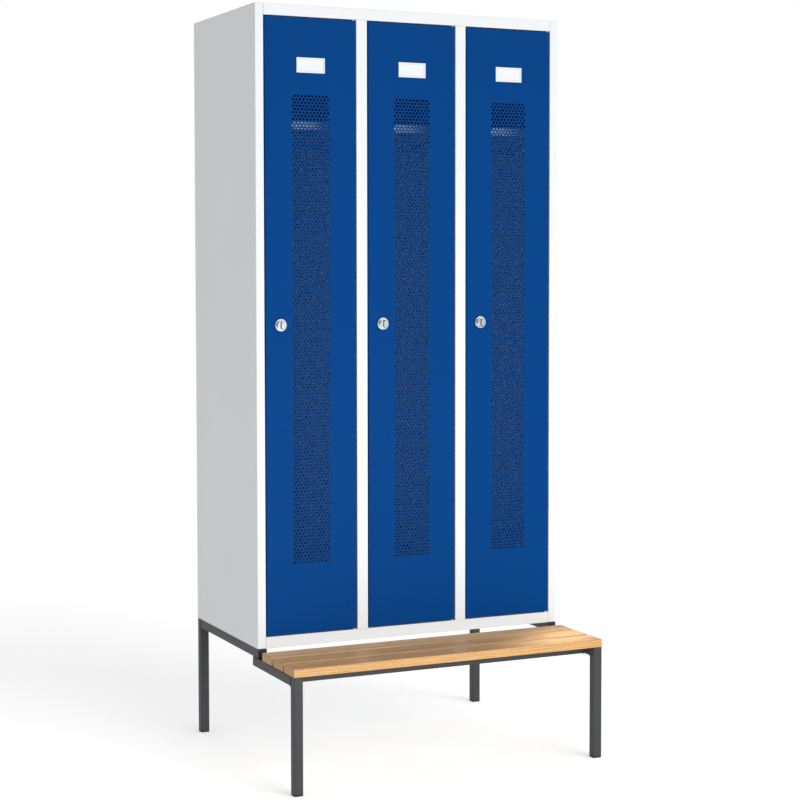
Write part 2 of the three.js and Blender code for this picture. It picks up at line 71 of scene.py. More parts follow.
def linear_colour(hex_value):
    """The sRGB colour written as 0xRRGGBB, as linear red, green and blue by the sRGB curve."""
    channels = np.array([(hex_value >> shift) & 255 for shift in (16, 8, 0)]) / 255
    curve = np.where(channels <= 0.04045, channels / 12.92, ((channels + 0.055) / 1.055) ** 2.4)
    return tuple(float(value) for value in curve)


def length_property(name, millimetres, description):
    """A length in metres, written here in millimetres."""
    return bpy.props.FloatProperty(
        name=name, description=description, default=millimetres * MM, min=0.0, precision=5, unit="LENGTH"
    )


def place_property(name, place, description):
    """A point in metres."""
    return bpy.props.FloatVectorProperty(
        name=name, description=description, default=place, size=3, subtype="XYZ", unit="LENGTH"
    )


def power_property(name, power, description):
    """The power or strength of a light."""
    return bpy.props.FloatProperty(name=name, description=description, default=power, min=0.0)


def angle_property(name, radians, description):
    """An angle in radians, which the sidebar shows in degrees."""
    return bpy.props.FloatProperty(name=name, description=description, default=radians, subtype="ANGLE")


def colour_property(name, hex_value, description):
    """A linear colour whose default is written as an sRGB hex value."""
    return bpy.props.FloatVectorProperty(
        name=name, description=description, default=linear_colour(hex_value), size=3, subtype="COLOR",
        min=0.0, max=1.0,
    )


class LockerSheetSizes(bpy.types.PropertyGroup):
    """How the carcass is folded from sheet steel."""

    sheet: length_property("Sheet", 0.8, "Thickness of the carcass sheet")
    bend: length_property("Bend radius", 0.8, "Inner radius of a fold")
    bend_steps: bpy.props.IntProperty(name="Bend steps", description="Facets in each fold", default=5, min=2)
    stile_depth: length_property("Stile depth", 20, "Depth of the box stiles at the front")
    fold_gap: length_property("Fold gap", 2, "Gap that closes a box stile at its back")
    rear_flange: length_property("Rear flange", 15, "Flange that the back panel is welded to")
    front_rail: length_property("Front rail", 30, "Height of the rail over and under the doors")
    stop_line: length_property("Stop line", 19.9, "Depth of the lip that a closed door stops on")
    notch_gap: length_property("Notch gap", 0.3, "Clearance of a notch round the next sheet")
    edge_round: length_property("Edge rounding", 0.15, "Rounding of the sheets' cut edges")
    weld_spot: length_property("Weld spot", 6, "Width of a spot weld's mark")
    weld_pitch: length_property("Weld pitch", 120, "Distance between spot welds")


class LockerDoorSizes(bpy.types.PropertyGroup):
    """How the doors are folded and punched."""

    sheet: length_property("Sheet", 1, "Thickness of the door sheet")
    bend: length_property("Bend radius", 0.8, "Inner radius of a fold")
    lip: length_property("Lip", 12, "Width of the lip round the back of the pan")
    corner: length_property("Corner radius", 1.2, "Radius of the pan's welded corners")
    hole: length_property("Hole", 6.6, "Width of a ventilation hole")
    pitch: length_property("Hole pitch", 10, "Distance between neighbouring holes")
    columns: bpy.props.IntProperty(name="Columns", description="Holes across the field", default=11, min=2)
    field_foot: length_property("Field foot", 185, "Height of the field above the door's foot")
    field_head: length_property("Field head", 200, "Distance of the field below the door's head")
    lock_inset: length_property("Lock inset", 42, "Distance of the lock from the door's edge")
    lock_height: length_property("Lock height", 825, "Height of the lock above the door's foot")
    barrel: length_property("Barrel hole", 19.6, "Width of the hole for the lock's barrel")
    stiffener_foot: length_property("Stiffener foot", 9, "Width of each foot of the stiffener")
    edge_round: length_property("Edge rounding", 0.15, "Rounding of the stiffener's cut edges")
    holder_round: length_property("Holder rounding", 0.35, "Rounding of the label holder's edges")
    card_round: length_property("Card rounding", 0.1, "Rounding of the label card's edges")


class LockerFittingSizes(bpy.types.PropertyGroup):
    """Locks, pins, rails, hooks, under-frame and slats."""

    fit: length_property("Fit", 0.3, "Clearance between pieces that seat in one another")
    rosette_depth: length_property("Rosette depth", 4, "Thickness of the lock's rosette")
    rosette_round: length_property("Rosette rounding", 1.6, "Rounding of the rosette's rim")
    spindle: length_property("Spindle", 12, "Width of the lock's spindle")
    spindle_tip: length_property("Spindle tip", 8, "Width of the spindle where the cam sits")
    grip: length_property("Grip width", 7, "Width of the knob's grip")
    knob_skirt: length_property("Knob skirt", 7, "Depth of the knob's round part")
    knob_round: length_property("Knob rounding", 1.6, "Rounding of the knob's rim")
    cam_tip: length_property("Cam tip", 14, "Width of the cam's tip")
    strap: length_property("Hook strap", 2.5, "Thickness of the coat hook's strap")
    saddle: length_property("Hook saddle", 30, "Width of the hook's saddle")
    prong: length_property("Hook prong", 24, "Height of a prong")
    strap_bend: length_property("Hook bend", 7, "Inner radius of the hook's bends")
    strap_round: length_property("Hook rounding", 0.5, "Rounding of the hook's edges")
    hook_screw: length_property("Hook screw", 6.4, "Width of the head of a hook's screw")
    hook_screw_reach: length_property("Hook screw place", 6, "Distance of a screw from the hook's middle")
    rail_wall: length_property("Rail wall", 1.2, "Wall of the coat rail's tube")
    pin: length_property("Pin", 5, "Width of a hinge pin")
    pin_head: length_property("Pin head", 7.6, "Width of the lower pin's riveted head")
    pin_head_height: length_property("Pin head height", 1.6, "Height of a riveted head")
    collar: length_property("Collar", 8.8, "Width of the collar that carries a door")
    collar_height: length_property("Collar height", 2.4, "Height of the collar")
    tube_wall: length_property("Tube wall", 1.5, "Wall of the under-frame's tube")
    tube_corner: length_property("Tube corner", 2.5, "Outer corner radius of the under-frame's tube")
    slat_round: length_property("Slat rounding", 3, "Rounding of the slats' long edges")
    slat_end_round: length_property("Slat end rounding", 1.5, "Rounding of the slats' ends")
    slat_screw: length_property("Slat screw", 9, "Width of the head of a slat's screw")
    slat_screw_margin: length_property("Slat screw margin", 8, "Least distance from the rail's end")


class LockerFinishes(bpy.types.PropertyGroup):
    """Colours of the finishes."""

    carcass: colour_property("Carcass", 0xD3D6D8, "Light grey powder coat")
    door: colour_property("Doors", 0x003976, "Gentian blue powder coat")
    frame: colour_property("Under-frame", 0x343538, "Anthracite powder coat")
    wood: colour_property("Wood", 0xD3A76E, "Lacquered beech between its growth lines")
    wood_dark: colour_property("Wood lines", 0x95693C, "Late wood and flecks")
    zinc: colour_property("Zinc", 0xC6C9CC, "Bright zinc plate")
    chrome: colour_property("Chrome", 0xB4B8BD, "Satin chrome")
    plastic: colour_property("White plastic", 0xCDD2D5, "Label holder")
    card: colour_property("Card", 0xD6D9DA, "Blank card")
    rubber: colour_property("Black plastic", 0x16171A, "Glides and end plugs")
    floor: colour_property("Floor", 0xFAFAFA, "Studio floor")


class LockerStage(bpy.types.PropertyGroup):
    """Camera and light."""

    lens: bpy.props.FloatProperty(
        name="Lens", description="Focal length in millimetres", default=85.61, min=10.0,
        subtype="DISTANCE_CAMERA",
    )
    sensor: bpy.props.FloatProperty(
        name="Sensor", description="Width of the camera's sensor in millimetres", default=36.0, min=1.0,
        subtype="DISTANCE_CAMERA",
    )
    station: place_property("Camera place", (-2.1776, -4.8265, 1.3578), "Where the camera stands")
    heading: angle_property("Heading", 0.448, "Turn of the camera from +Y towards +X")
    tilt: angle_property("Tilt", 0.0521, "Downward tilt of the camera")
    shift: bpy.props.FloatVectorProperty(
        name="Shift", description="Share of the picture's width that it is moved by", default=(-0.05, -0.05),
        size=2,
    )
    ambient: power_property("Ambient", 0.59, "Strength of the white surroundings")
    key: power_property("Key", 1.36, "Strength of the soft key light")
    key_spread: angle_property("Key spread", math.radians(45), "Width of the key light as an angle")
    key_place: place_property("Key place", (1.5, -3.4, 2.9), "Where the key light comes from")
    key_target: place_property("Key target", (0, 0, 1), "What the key light is turned to")
    edge: power_property("Edge", 170.0, "Power of the narrow light on the bench's right end")
    edge_cone: angle_property("Edge cone", math.radians(11.5), "Width of the narrow light's cone")
    edge_size: length_property("Edge size", 50, "Radius of the narrow light, which softens its shadows")
    edge_place: place_property("Edge place", (1.25, 0.22, 0.95), "Where the narrow light stands")
    edge_target: place_property("Edge target", (0.36, -0.31, 0.327), "What the narrow light is turned to")
    fill: power_property("Fill", 21.0, "Power of the low fill light in front of the bench")
    fill_size: bpy.props.FloatVectorProperty(
        name="Fill size", description="Width and height of the fill light", default=(1.6, 0.5), size=2,
        unit="LENGTH",
    )
    fill_place: place_property("Fill place", (0.1, -2.6, 0.5), "Where the fill light stands")
    fill_target: place_property("Fill target", (0.1, -0.2, 0.6), "What the fill light is turned to")


# Shapes worked out with numpy

def unit(vectors):
    """The vectors divided by their lengths."""
    vectors = np.asarray(vectors, float)
    return vectors / np.linalg.norm(vectors, axis=-1, keepdims=True)


def bent_line(corners, radius, steps):
    """The middle line of a strip folded at its corners: straight runs, and an arc of the radius at
    each inner corner that touches both runs."""
    corners = np.asarray(corners, float)
    points = [corners[:1]]
    for before, corner, after in zip(corners, corners[1:], corners[2:]):
        into, out = unit(corner - before), unit(after - corner)
        turn = math.atan2(into[0] * out[1] - into[1] * out[0], float(into @ out))
        side = math.copysign(1, turn)
        start = corner - into * radius * math.tan(abs(turn) / 2)
        arm = side * radius * np.array([into[1], -into[0]])
        angle = turn * np.linspace(0, 1, steps + 1)
        across = np.array([-arm[1], arm[0]])
        swept = np.cos(angle)[:, None] * arm + np.sin(angle)[:, None] * across
        points.append(start - arm + swept)
    points.append(corners[-1:])
    return np.concatenate(points)


def strip_sides(line, thickness):
    """Both faces of a strip: its middle line moved to either side by half the thickness, along the
    mean of the normals of the two runs that meet at each point, mitred."""
    runs = unit(np.diff(line, axis=0))
    into = np.concatenate([runs[:1], runs])
    out = np.concatenate([runs, runs[-1:]])
    mean = unit(into + out)
    mitre = thickness / 2 / np.sum(mean * into, 1)
    shift = np.stack([-mean[:, 1], mean[:, 0]], 1) * mitre[:, None]
    return line + shift, line - shift


def in_axes(first, second, third, order):
    """Points from three coordinates, which are given for the axes in the order named."""
    points = np.empty(np.broadcast(first, second, third).shape + (3,))
    for axis, values in zip(order, (first, second, third)):
        points[..., axis] = values
    return points


def folded_sheet(line, thickness, stations, order, keep=None, narrowing=None):
    """A sheet whose section follows the line and is carried past the stations along its length, as a
    grid of cells. Cells that keep leaves out are notches. Each kept cell has an upper and a lower
    quad, and a wall stands wherever a kept cell has no kept neighbour. narrowing scales the
    stations at each point of the section, for rounded ends."""
    side_a, side_b = strip_sides(line, thickness)
    count, along = len(line), len(stations)
    keep = np.ones((count - 1, along - 1), bool) if keep is None else keep
    scale = np.ones(count) if narrowing is None else narrowing
    lengths = scale[:, None] * np.asarray(stations)[None, :]
    upper = in_axes(side_a[:, :1], side_a[:, 1:], lengths, order)
    lower = in_axes(side_b[:, :1], side_b[:, 1:], lengths, order)
    points = np.concatenate([upper.reshape(-1, 3), lower.reshape(-1, 3)])
    index = np.arange(count * along).reshape(count, along)
    top, under = index, index + count * along
    i, j = np.nonzero(keep)
    quads = [
        np.stack([top[i, j], top[i + 1, j], top[i + 1, j + 1], top[i, j + 1]], 1),
        np.stack([under[i, j], under[i, j + 1], under[i + 1, j + 1], under[i + 1, j]], 1),
    ]
    padded = np.pad(keep, 1)
    edges = (
        (padded[:-2, 1:-1], (0, 0), (0, 1)),
        (padded[2:, 1:-1], (1, 1), (1, 0)),
        (padded[1:-1, :-2], (1, 0), (0, 0)),
        (padded[1:-1, 2:], (0, 1), (1, 1)),
    )
    for neighbour, start, end in edges:
        i, j = np.nonzero(keep & ~neighbour)
        first = (i + start[0], j + start[1])
        second = (i + end[0], j + end[1])
        quads.append(np.stack([top[first], top[second], under[second], under[first]], 1))
    return points, [np.concatenate(quads)]


def rounded_rectangle(half_width, half_height, radius, steps=3):
    """A rectangle whose corners are arcs, counter-clockwise, as points: each quarter of a circle is
    moved out to its own corner."""
    turn = np.arange(4)[:, None] * math.pi / 2 + np.linspace(0, math.pi / 2, steps + 1)
    signs = np.array([(1, 1), (-1, 1), (-1, -1), (1, -1)])[:, None, :]
    core = np.array([half_width - radius, half_height - radius])
    return (signs * core + radius * np.stack([np.cos(turn), np.sin(turn)], -1)).reshape(-1, 2)


def circle(radius, sides):
    """A circle of points."""
    angle = np.arange(sides) * 2 * math.pi / sides
    return radius * np.stack([np.cos(angle), np.sin(angle)], 1)


def arc_points(centre, radius, start, end, steps):
    """Points on an arc between two angles in degrees."""
    angle = np.radians(np.linspace(start, end, steps + 1))
    return np.asarray(centre) + radius * np.stack([np.cos(angle), np.sin(angle)], 1)


def lofted(loops, ring=False):
    """A skin over loops of equal count: quads between neighbours. A ring joins the last loop to the
    first, as a tube with a bore does; otherwise a flat face closes each end."""
    rounds, count = loops.shape[:2]
    points = loops.reshape(-1, 3)
    index = np.arange(rounds * count).reshape(rounds, count)
    upper = np.concatenate([index[1:], index[:1]]) if ring else index[1:]
    lower = index if ring else index[:-1]
    quads = np.stack([lower, np.roll(lower, -1, 1), np.roll(upper, -1, 1), upper], -1).reshape(-1, 4)
    caps = [] if ring else [index[:1, ::-1], index[-1:]]
    return points, [quads] + caps


def lathe(profile, centre, axis, sides, ring=False):
    """A turned piece: each (radius, place along the axis) of the profile is a circle about it."""
    profile = np.asarray(profile, float)
    round_line = circle(1, sides)
    first, second = [other for other in (X, Y, Z) if other != axis]
    loops = in_axes(
        profile[:, None, 0] * round_line[None, :, 0] + centre[first],
        profile[:, None, 0] * round_line[None, :, 1] + centre[second],
        profile[:, None, 1] + 0 * round_line[None, :, 0],
        (first, second, axis),
    )
    return lofted(loops, ring)


def tray_loops(half_width, half_height, corner, profile, centre, order):
    """The loops of a folded tray: for each (inset, depth) of its profile, a rounded rectangle drawn
    in by the inset, at that depth."""
    least = corner / 4
    rings = [
        rounded_rectangle(half_width - inset, half_height - inset, max(corner - inset, least))
        for inset, _ in profile
    ]
    flat = np.stack(rings) + np.asarray(centre)
    depth = np.array([place for _, place in profile])[:, None] + 0 * flat[..., 0]
    return in_axes(flat[..., 0], flat[..., 1], depth, order)


def weld(points, faces):
    """Points that lie on the same place made one, to a thousandth of a millimetre."""
    keys = np.round(points / SAME_PLACE).astype(np.int64)
    _, first, where = np.unique(keys, axis=0, return_index=True, return_inverse=True)
    where = where.reshape(-1)
    return points[first], [where[group] for group in faces]


def signed_volume(points, faces):
    """The volume inside the faces by the divergence theorem: negative if they point inwards."""
    total = 0.0
    for group in faces:
        first = points[group[:, 0]]
        for corner in range(1, group.shape[1] - 1):
            crossed = np.cross(points[group[:, corner]], points[group[:, corner + 1]])
            total += float(np.sum(first * crossed)) / 6
    return total


def joined(*shapes):
    """Several closed shapes as one set of points and faces."""
    points, faces, offset = [], [], 0
    for some_points, some_faces in shapes:
        points.append(some_points)
        faces += [group + offset for group in some_faces]
        offset += len(some_points)
    return np.concatenate(points), faces


def outwards(points, faces):
    """The faces turned so that they point out of the closed shape."""
    if signed_volume(points, faces) < 0:
        faces = [group[:, ::-1] for group in faces]
    return points, faces


# From shapes to finished pieces

def mesh_from(name, points, faces):
    """A mesh from arrays, without a loop over its vertices."""
    used = np.unique(np.concatenate([group.ravel() for group in faces]))
    renumber = np.zeros(len(points), int)
    renumber[used] = np.arange(len(used))
    counts = np.concatenate([np.full(len(group), group.shape[1]) for group in faces])
    corners = np.concatenate([renumber[group].ravel() for group in faces])
    mesh = bpy.data.meshes.new(name)
    mesh.vertices.add(len(used))
    mesh.vertices.foreach_set("co", points[used].astype(np.float32).ravel())
    mesh.loops.add(len(corners))
    mesh.loops.foreach_set("vertex_index", corners.astype(np.int32))
    mesh.polygons.add(len(counts))
    mesh.polygons.foreach_set("loop_start", (np.cumsum(counts) - counts).astype(np.int32))
    mesh.update(calc_edges=True)
    if mesh.validate():
        raise RuntimeError(f"{name}: its faces had to be repaired")
    return mesh


def finished_piece(name, mesh, slot, body, replaced=(), rounding=0.0, crease=38.0):
    """A piece from its mesh: smooth between the creases, its sharp edges rounded if asked, with its
    finish, riding on its body and standing for the nodes that it replaces."""
    mesh.polygons.foreach_set("use_smooth", np.ones(len(mesh.polygons), bool))
    mesh.set_sharp_from_angle(angle=math.radians(crease))
    piece = bpy.data.objects.new(name, mesh)
    bpy.context.scene.collection.objects.link(piece)
    mesh.materials.append(finish_for(slot))
    if rounding > 0:
        bevel = piece.modifiers.new("edge rounding", "BEVEL")
        bevel.width = rounding
        bevel.segments = 2
        bevel.limit_method = "ANGLE"
        bevel.angle_limit = math.radians(crease)
    normals = piece.modifiers.new("even shading", "WEIGHTED_NORMAL")
    normals.keep_sharp = rounding == 0
    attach(piece, body)
    if replaced:
        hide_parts(*replaced)
    return piece


def dress_node(node, shape, rounding=0.0, crease=38.0):
    """Replaces a node by a finished surface of the same part."""
    points, faces = outwards(*shape)
    mesh = mesh_from(node + "_made", points, faces)
    return finished_piece(node + "_made", mesh, NODE_SLOT[node], NODE_BODY[node], [node], rounding, crease)


def add_detail(name, shape, slot):
    """A small piece that has no node of its own and stays with the carcass and its frame."""
    points, faces = outwards(*shape)
    return finished_piece(name, mesh_from(name, points, faces), slot, "root")


def merged_copy(node, rounding):
    """A copy of a node's solid with its corners merged, its flat faces whole and its edges rounded."""
    mesh = frame["nodes"][node].data.copy()
    mesh.name = node + "_made"
    mesh.materials.clear()
    work = bmesh.new()
    work.from_mesh(mesh)
    bmesh.ops.remove_doubles(work, verts=work.verts, dist=SAME_PLACE)
    bmesh.ops.dissolve_limit(
        work, angle_limit=math.radians(0.5), verts=work.verts, edges=work.edges, use_dissolve_boundaries=False
    )
    work.to_mesh(mesh)
    work.free()
    if mesh.has_custom_normals:
        mesh.attributes.remove(mesh.attributes["custom_normal"])
    return finished_piece(mesh.name, mesh, NODE_SLOT[node], NODE_BODY[node], [node], rounding)


def span(node):
    """The lowest and the highest corner of a node, and its middle, as arrays."""
    low, high = (np.array(corner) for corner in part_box(node))
    return low, high, (low + high) / 2


def numbered(stem):
    """The CAD nodes whose names are the stem and a number, in the order of the numbers."""
    found = {}
    for node in NODE_BODY:
        start, _, number = node.rpartition("_")
        if start == stem and number.isdigit():
            found[int(number)] = node
    return [found[number] for number in sorted(found)]


# Finishes

def add_node(tree, kind, settings=None, links=None):
    """Adds a node: settings sets its properties by name and its inputs by name or number, and links
    joins outputs of other nodes to its inputs."""
    node = tree.nodes.new(kind)
    for key, value in (settings or {}).items():
        if isinstance(key, str) and hasattr(node, key):
            setattr(node, key, value)
        else:
            node.inputs[key].default_value = value
    for key, output in (links or {}).items():
        tree.links.new(output, node.inputs[key])
    return node


def new_finish(name):
    """An empty material, its nodes and the Object coordinates that its patterns read."""
    material = bpy.data.materials.new(name)
    material.use_nodes = True
    tree = material.node_tree
    tree.nodes.clear()
    return material, tree, add_node(tree, "ShaderNodeTexCoord").outputs["Object"]


def mixed_colour(tree, factor, first, second):
    """A colour between two, by a factor that a node gives."""
    settings = {"data_type": "RGBA", 6: (*first, 1), 7: (*second, 1)}
    return add_node(tree, "ShaderNodeMix", settings, {0: factor}).outputs[2]


def shaded(colour, share):
    """The colour made lighter or darker by a share of itself."""
    return tuple(min(1.0, channel * (1 + share)) for channel in colour)


def close_finish(tree, settings, links):
    """Ends a material with its shader and its output."""
    shader = add_node(tree, "ShaderNodeBsdfPrincipled", settings, links)
    add_node(tree, "ShaderNodeOutputMaterial", links={"Surface": shader.outputs[0]})


def mottled(tree, factor, colour, tones):
    """The colour between two tones of it, which are given as shares."""
    darker, lighter = (shaded(colour, share) for share in tones)
    return mixed_colour(tree, factor, darker, lighter)


def noise(tree, place, width, detail, output=0):
    """Noise whose patches are about as wide as the width: its value, or its colour."""
    settings = {"Scale": 1 / width, "Detail": detail}
    return add_node(tree, "ShaderNodeTexNoise", settings, {"Vector": place}).outputs[output]


def drawn_out(tree, place, length, width):
    """The place in lengths along X and in widths across it, so that noise on it is drawn out along X."""
    settings = {"Scale": (1 / length, 1 / width, 1 / width)}
    return add_node(tree, "ShaderNodeMapping", settings, {"Vector": place}).outputs[0]


def ranged(tree, value, low, high, first=0.0, last=1.0):
    """A value that runs from low to high while the given one runs from first to last."""
    settings = {"From Min": first, "From Max": last, "To Min": low, "To Max": high}
    return add_node(tree, "ShaderNodeMapRange", settings, {"Value": value}).outputs[0]


def relief(tree, height, value, under=None):
    """The normals of a relief of the given height, over the plain surface or over another relief."""
    links = {"Height": value}
    if under is not None:
        links["Normal"] = under
    return add_node(tree, "ShaderNodeBump", {"Strength": 1.0, "Distance": height}, links).outputs[0]


def calculated(tree, operation, *terms, clamp=False):
    """The result of a sum or the like, whose terms are numbers or outputs of other nodes."""
    settings, links = {"operation": operation, "use_clamp": clamp}, {}
    for number, term in enumerate(terms):
        chosen = settings if isinstance(term, (int, float)) else links
        chosen[number] = term
    return add_node(tree, "ShaderNodeMath", settings, links).outputs[0]


PEEL_WIDTH = 3.5 * MM
PEEL_HEIGHT = 0.02 * MM
SHEET_WAVE = 180 * MM
SHEET_WAVE_HEIGHT = 0.25 * MM


def powder_coat(name, colour, roughness, specular):
    """Polyester powder melted on to folded steel in an oven. It gives the eye one even satin colour,
    a fine orange peel in the highlights, and the slow waves of thin sheet. Real orange peel is 1 to
    2 mm wide and is drawn wider here, so that it shows."""
    material, tree, place = new_finish(name)
    peel = noise(tree, place, PEEL_WIDTH, 1.0)
    wave = noise(tree, place, SHEET_WAVE, 1.0)
    slow = relief(tree, SHEET_WAVE_HEIGHT, wave)
    links = {
        "Base Color": mottled(tree, wave, colour, (-0.02, 0.02)),
        "Roughness": ranged(tree, peel, roughness - 0.05, roughness + 0.05),
        "Normal": relief(tree, PEEL_HEIGHT, peel, slow),
    }
    close_finish(tree, {"Specular IOR Level": specular}, links)
    return material


def grained(name, colour, width, detail, tones, settings, gloss=None, height=None):
    """A finish with one fine pattern. It moves the colour between two tones and, where they are
    given, the roughness between two values and the surface by a height."""
    material, tree, place = new_finish(name)
    grain = noise(tree, place, width, detail)
    links = {"Base Color": mottled(tree, grain, colour, tones)}
    if gloss is not None:
        links["Roughness"] = ranged(tree, grain, *gloss)
    if height is not None:
        links["Normal"] = relief(tree, height, grain)
    close_finish(tree, settings, links)
    return material


def zinc_plate(colour):
    """Bright zinc plated on stamped steel. It gives the eye a cool metal whose gloss is broken by
    faint cloudy patches from the bath."""
    return grained(
        "zinc_plated_stamped_steel", colour, width=6 * MM, detail=3.0, tones=(-0.12, 0.06),
        settings={"Metallic": 1.0}, gloss=(0.24, 0.46), height=0.02 * MM,
    )


def satin_chrome(colour):
    """Chrome plated on die-cast zinc that was blasted first. It gives the eye a bright metal with
    wide soft highlights and a very fine grain."""
    return grained(
        "satin_chromed_die_cast_zinc", colour, width=0.6 * MM, detail=2.0, tones=(-0.05, 0.03),
        settings={"Metallic": 1.0}, gloss=(0.2, 0.32), height=0.006 * MM,
    )


def moulded_plastic(name, colour, roughness, specular):
    """Injection-moulded plastic from a spark-eroded tool. It gives the eye a plain matt colour with a
    fine even grain."""
    return grained(
        name, colour, width=0.9 * MM, detail=2.0, tones=(-0.04, 0.04),
        settings={"Roughness": roughness, "Specular IOR Level": specular}, height=0.03 * MM,
    )


def blank_card(colour):
    """Uncoated card cut from a sheet. It gives the eye a flat white with the mottle of its fibres."""
    return grained(
        "uncoated_card", colour, width=1.2 * MM, detail=4.0, tones=(-0.06, 0.04),
        settings={"Roughness": 0.9, "Specular IOR Level": 0.2},
    )


def studio_floor(colour):
    """A table of opal acrylic sheet, cast, and lit from below. It gives the eye a pale ground that
    takes only faint shadows, with the slight unevenness of its glow."""
    glow = {"Emission Color": (1, 1, 1, 1), "Emission Strength": 0.3}
    return grained(
        "opal_cast_acrylic_lit_from_below", colour, width=40 * MM, detail=3.0, tones=(-0.01, 0.01),
        settings={"Roughness": 0.95, "Specular IOR Level": 0.05, **glow},
    )


RING_SPACING = 5 * MM
RING_CENTRE_DEPTH = 55 * MM
BOARD_ASIDE = 27 * MM
FIRST_BOARD_ASIDE = -31 * MM
BOARD_ALONG = 1730 * MM
DRIFT_LENGTH = 450 * MM
DRIFT_WIDTH = 60 * MM
DRIFT_REACH = 22 * MM
FIBRE_LENGTH = 60 * MM
FIBRE_WIDTH = 1.6 * MM
FLECK_LENGTH = 6 * MM
FLECK_WIDTH = 0.9 * MM
PORE_DEPTH = 0.06 * MM


def place_in_log(tree, place, front, pitch, top):
    """Which board a point is in, counted from the bench's front, and where in its log it was cut.
    The log's middle runs along below the boards, and lies further aside and along for each board."""
    split = add_node(tree, "ShaderNodeSeparateXYZ", links={0: place}).outputs
    shares = calculated(tree, "MULTIPLY_ADD", split[Y], 1 / pitch, -front / pitch)
    board = calculated(tree, "FLOOR", shares)
    across = calculated(tree, "MULTIPLY_ADD", calculated(tree, "FRACT", shares), pitch, -pitch / 2)
    aside = calculated(tree, "MULTIPLY_ADD", board, BOARD_ASIDE, FIRST_BOARD_ASIDE)
    log = {
        X: calculated(tree, "MULTIPLY_ADD", board, BOARD_ALONG, split[X]),
        Y: calculated(tree, "ADD", across, aside),
        Z: calculated(tree, "SUBTRACT", split[Z], top - RING_CENTRE_DEPTH),
    }
    return board, add_node(tree, "ShaderNodeCombineXYZ", links=log).outputs[0]


def end_grain_share(tree):
    """How much darker the boards' ends are: the share grows as a face turns to look along X."""
    normal = add_node(tree, "ShaderNodeTexCoord").outputs["Normal"]
    facing = add_node(tree, "ShaderNodeSeparateXYZ", links={0: normal}).outputs[X]
    return ranged(tree, calculated(tree, "ABSOLUTE", facing), 0.0, 0.35, 0.6, 0.9)


def growth_rings(tree, trunk):
    """Rings round the log's middle, bent by a slow drift. A wave texture has a ring at every
    2 pi / 20 of its own unit."""
    drift = noise(tree, drawn_out(tree, trunk, DRIFT_LENGTH, DRIFT_WIDTH), 1.0, 2.0, "Color")
    reach = {"operation": "MULTIPLY_ADD", 1: (0.0, DRIFT_REACH, DRIFT_REACH)}
    bent = add_node(tree, "ShaderNodeVectorMath", reach, {0: drift, 2: trunk}).outputs[0]
    settings = {
        "wave_type": "RINGS",
        "rings_direction": "X",
        "Scale": 2 * math.pi / (20 * RING_SPACING),
        "Distortion": 1.2,
        "Detail": 2.0,
        "Detail Scale": 0.6,
    }
    return add_node(tree, "ShaderNodeTexWave", settings, {"Vector": bent}).outputs["Fac"]


def lacquered_beech(light, dark, front, pitch, top):
    """Steamed beech, planed and lacquered. It gives the eye a warm honey-brown with soft growth lines
    along each board, short darker flecks, and a silky sheen; no two boards are cut from one place.
    front is the bench's front edge, pitch the distance between boards and top the seat's height.
    Fibres are 0.1 mm wide in the real wood and are drawn coarser here."""
    material, tree, place = new_finish("lacquered_planed_beech")
    board, trunk = place_in_log(tree, place, front, pitch, top)
    fibres = noise(tree, drawn_out(tree, trunk, FIBRE_LENGTH, FIBRE_WIDTH), 1.0, 3.0)
    flecks = noise(tree, drawn_out(tree, trunk, FLECK_LENGTH, FLECK_WIDTH), 1.0, 0.0)
    ring_share = ranged(tree, growth_rings(tree, trunk), 0.02, 0.34)
    fibre_share = ranged(tree, fibres, -0.12, 0.3, 0.3, 0.7)
    fleck_share = ranged(tree, flecks, 0.0, 0.55, 0.62, 0.74)
    lines = calculated(tree, "ADD", ring_share, fibre_share)
    marks = calculated(tree, "ADD", lines, fleck_share)
    dark_share = calculated(tree, "ADD", marks, end_grain_share(tree), clamp=True)
    tone = mixed_colour(tree, dark_share, light, dark)
    tint = add_node(tree, "ShaderNodeTexWhiteNoise", {"noise_dimensions": "1D"}, {"W": board})
    board_tone = mixed_colour(tree, tint.outputs["Value"], (0.9, 0.88, 0.86), (1.0, 1.0, 1.0))
    coloured = add_node(
        tree, "ShaderNodeMix", {"data_type": "RGBA", "blend_type": "MULTIPLY", 0: 1.0},
        {6: tone, 7: board_tone},
    )
    links = {"Base Color": coloured.outputs[2], "Normal": relief(tree, PORE_DEPTH, fibres)}
    close_finish(tree, {"Roughness": 0.4, "Specular IOR Level": 0.22}, links)
    return material


def bench_finish(colours):
    """The slats' wood, its pattern divided where the boards part. The last slat is the front one."""
    slats = [span(node) for node in numbered("seat_slat")]
    (low, high, middle), (_, _, next_middle) = slats[:2]
    pitch = float(middle[Y] - next_middle[Y])
    margin = (pitch - float(high[Y] - low[Y])) / 2
    front, top = float(slats[-1][0][Y]) - margin, float(high[Z])
    return lacquered_beech(colours.wood, colours.wood_dark, front, pitch, top)


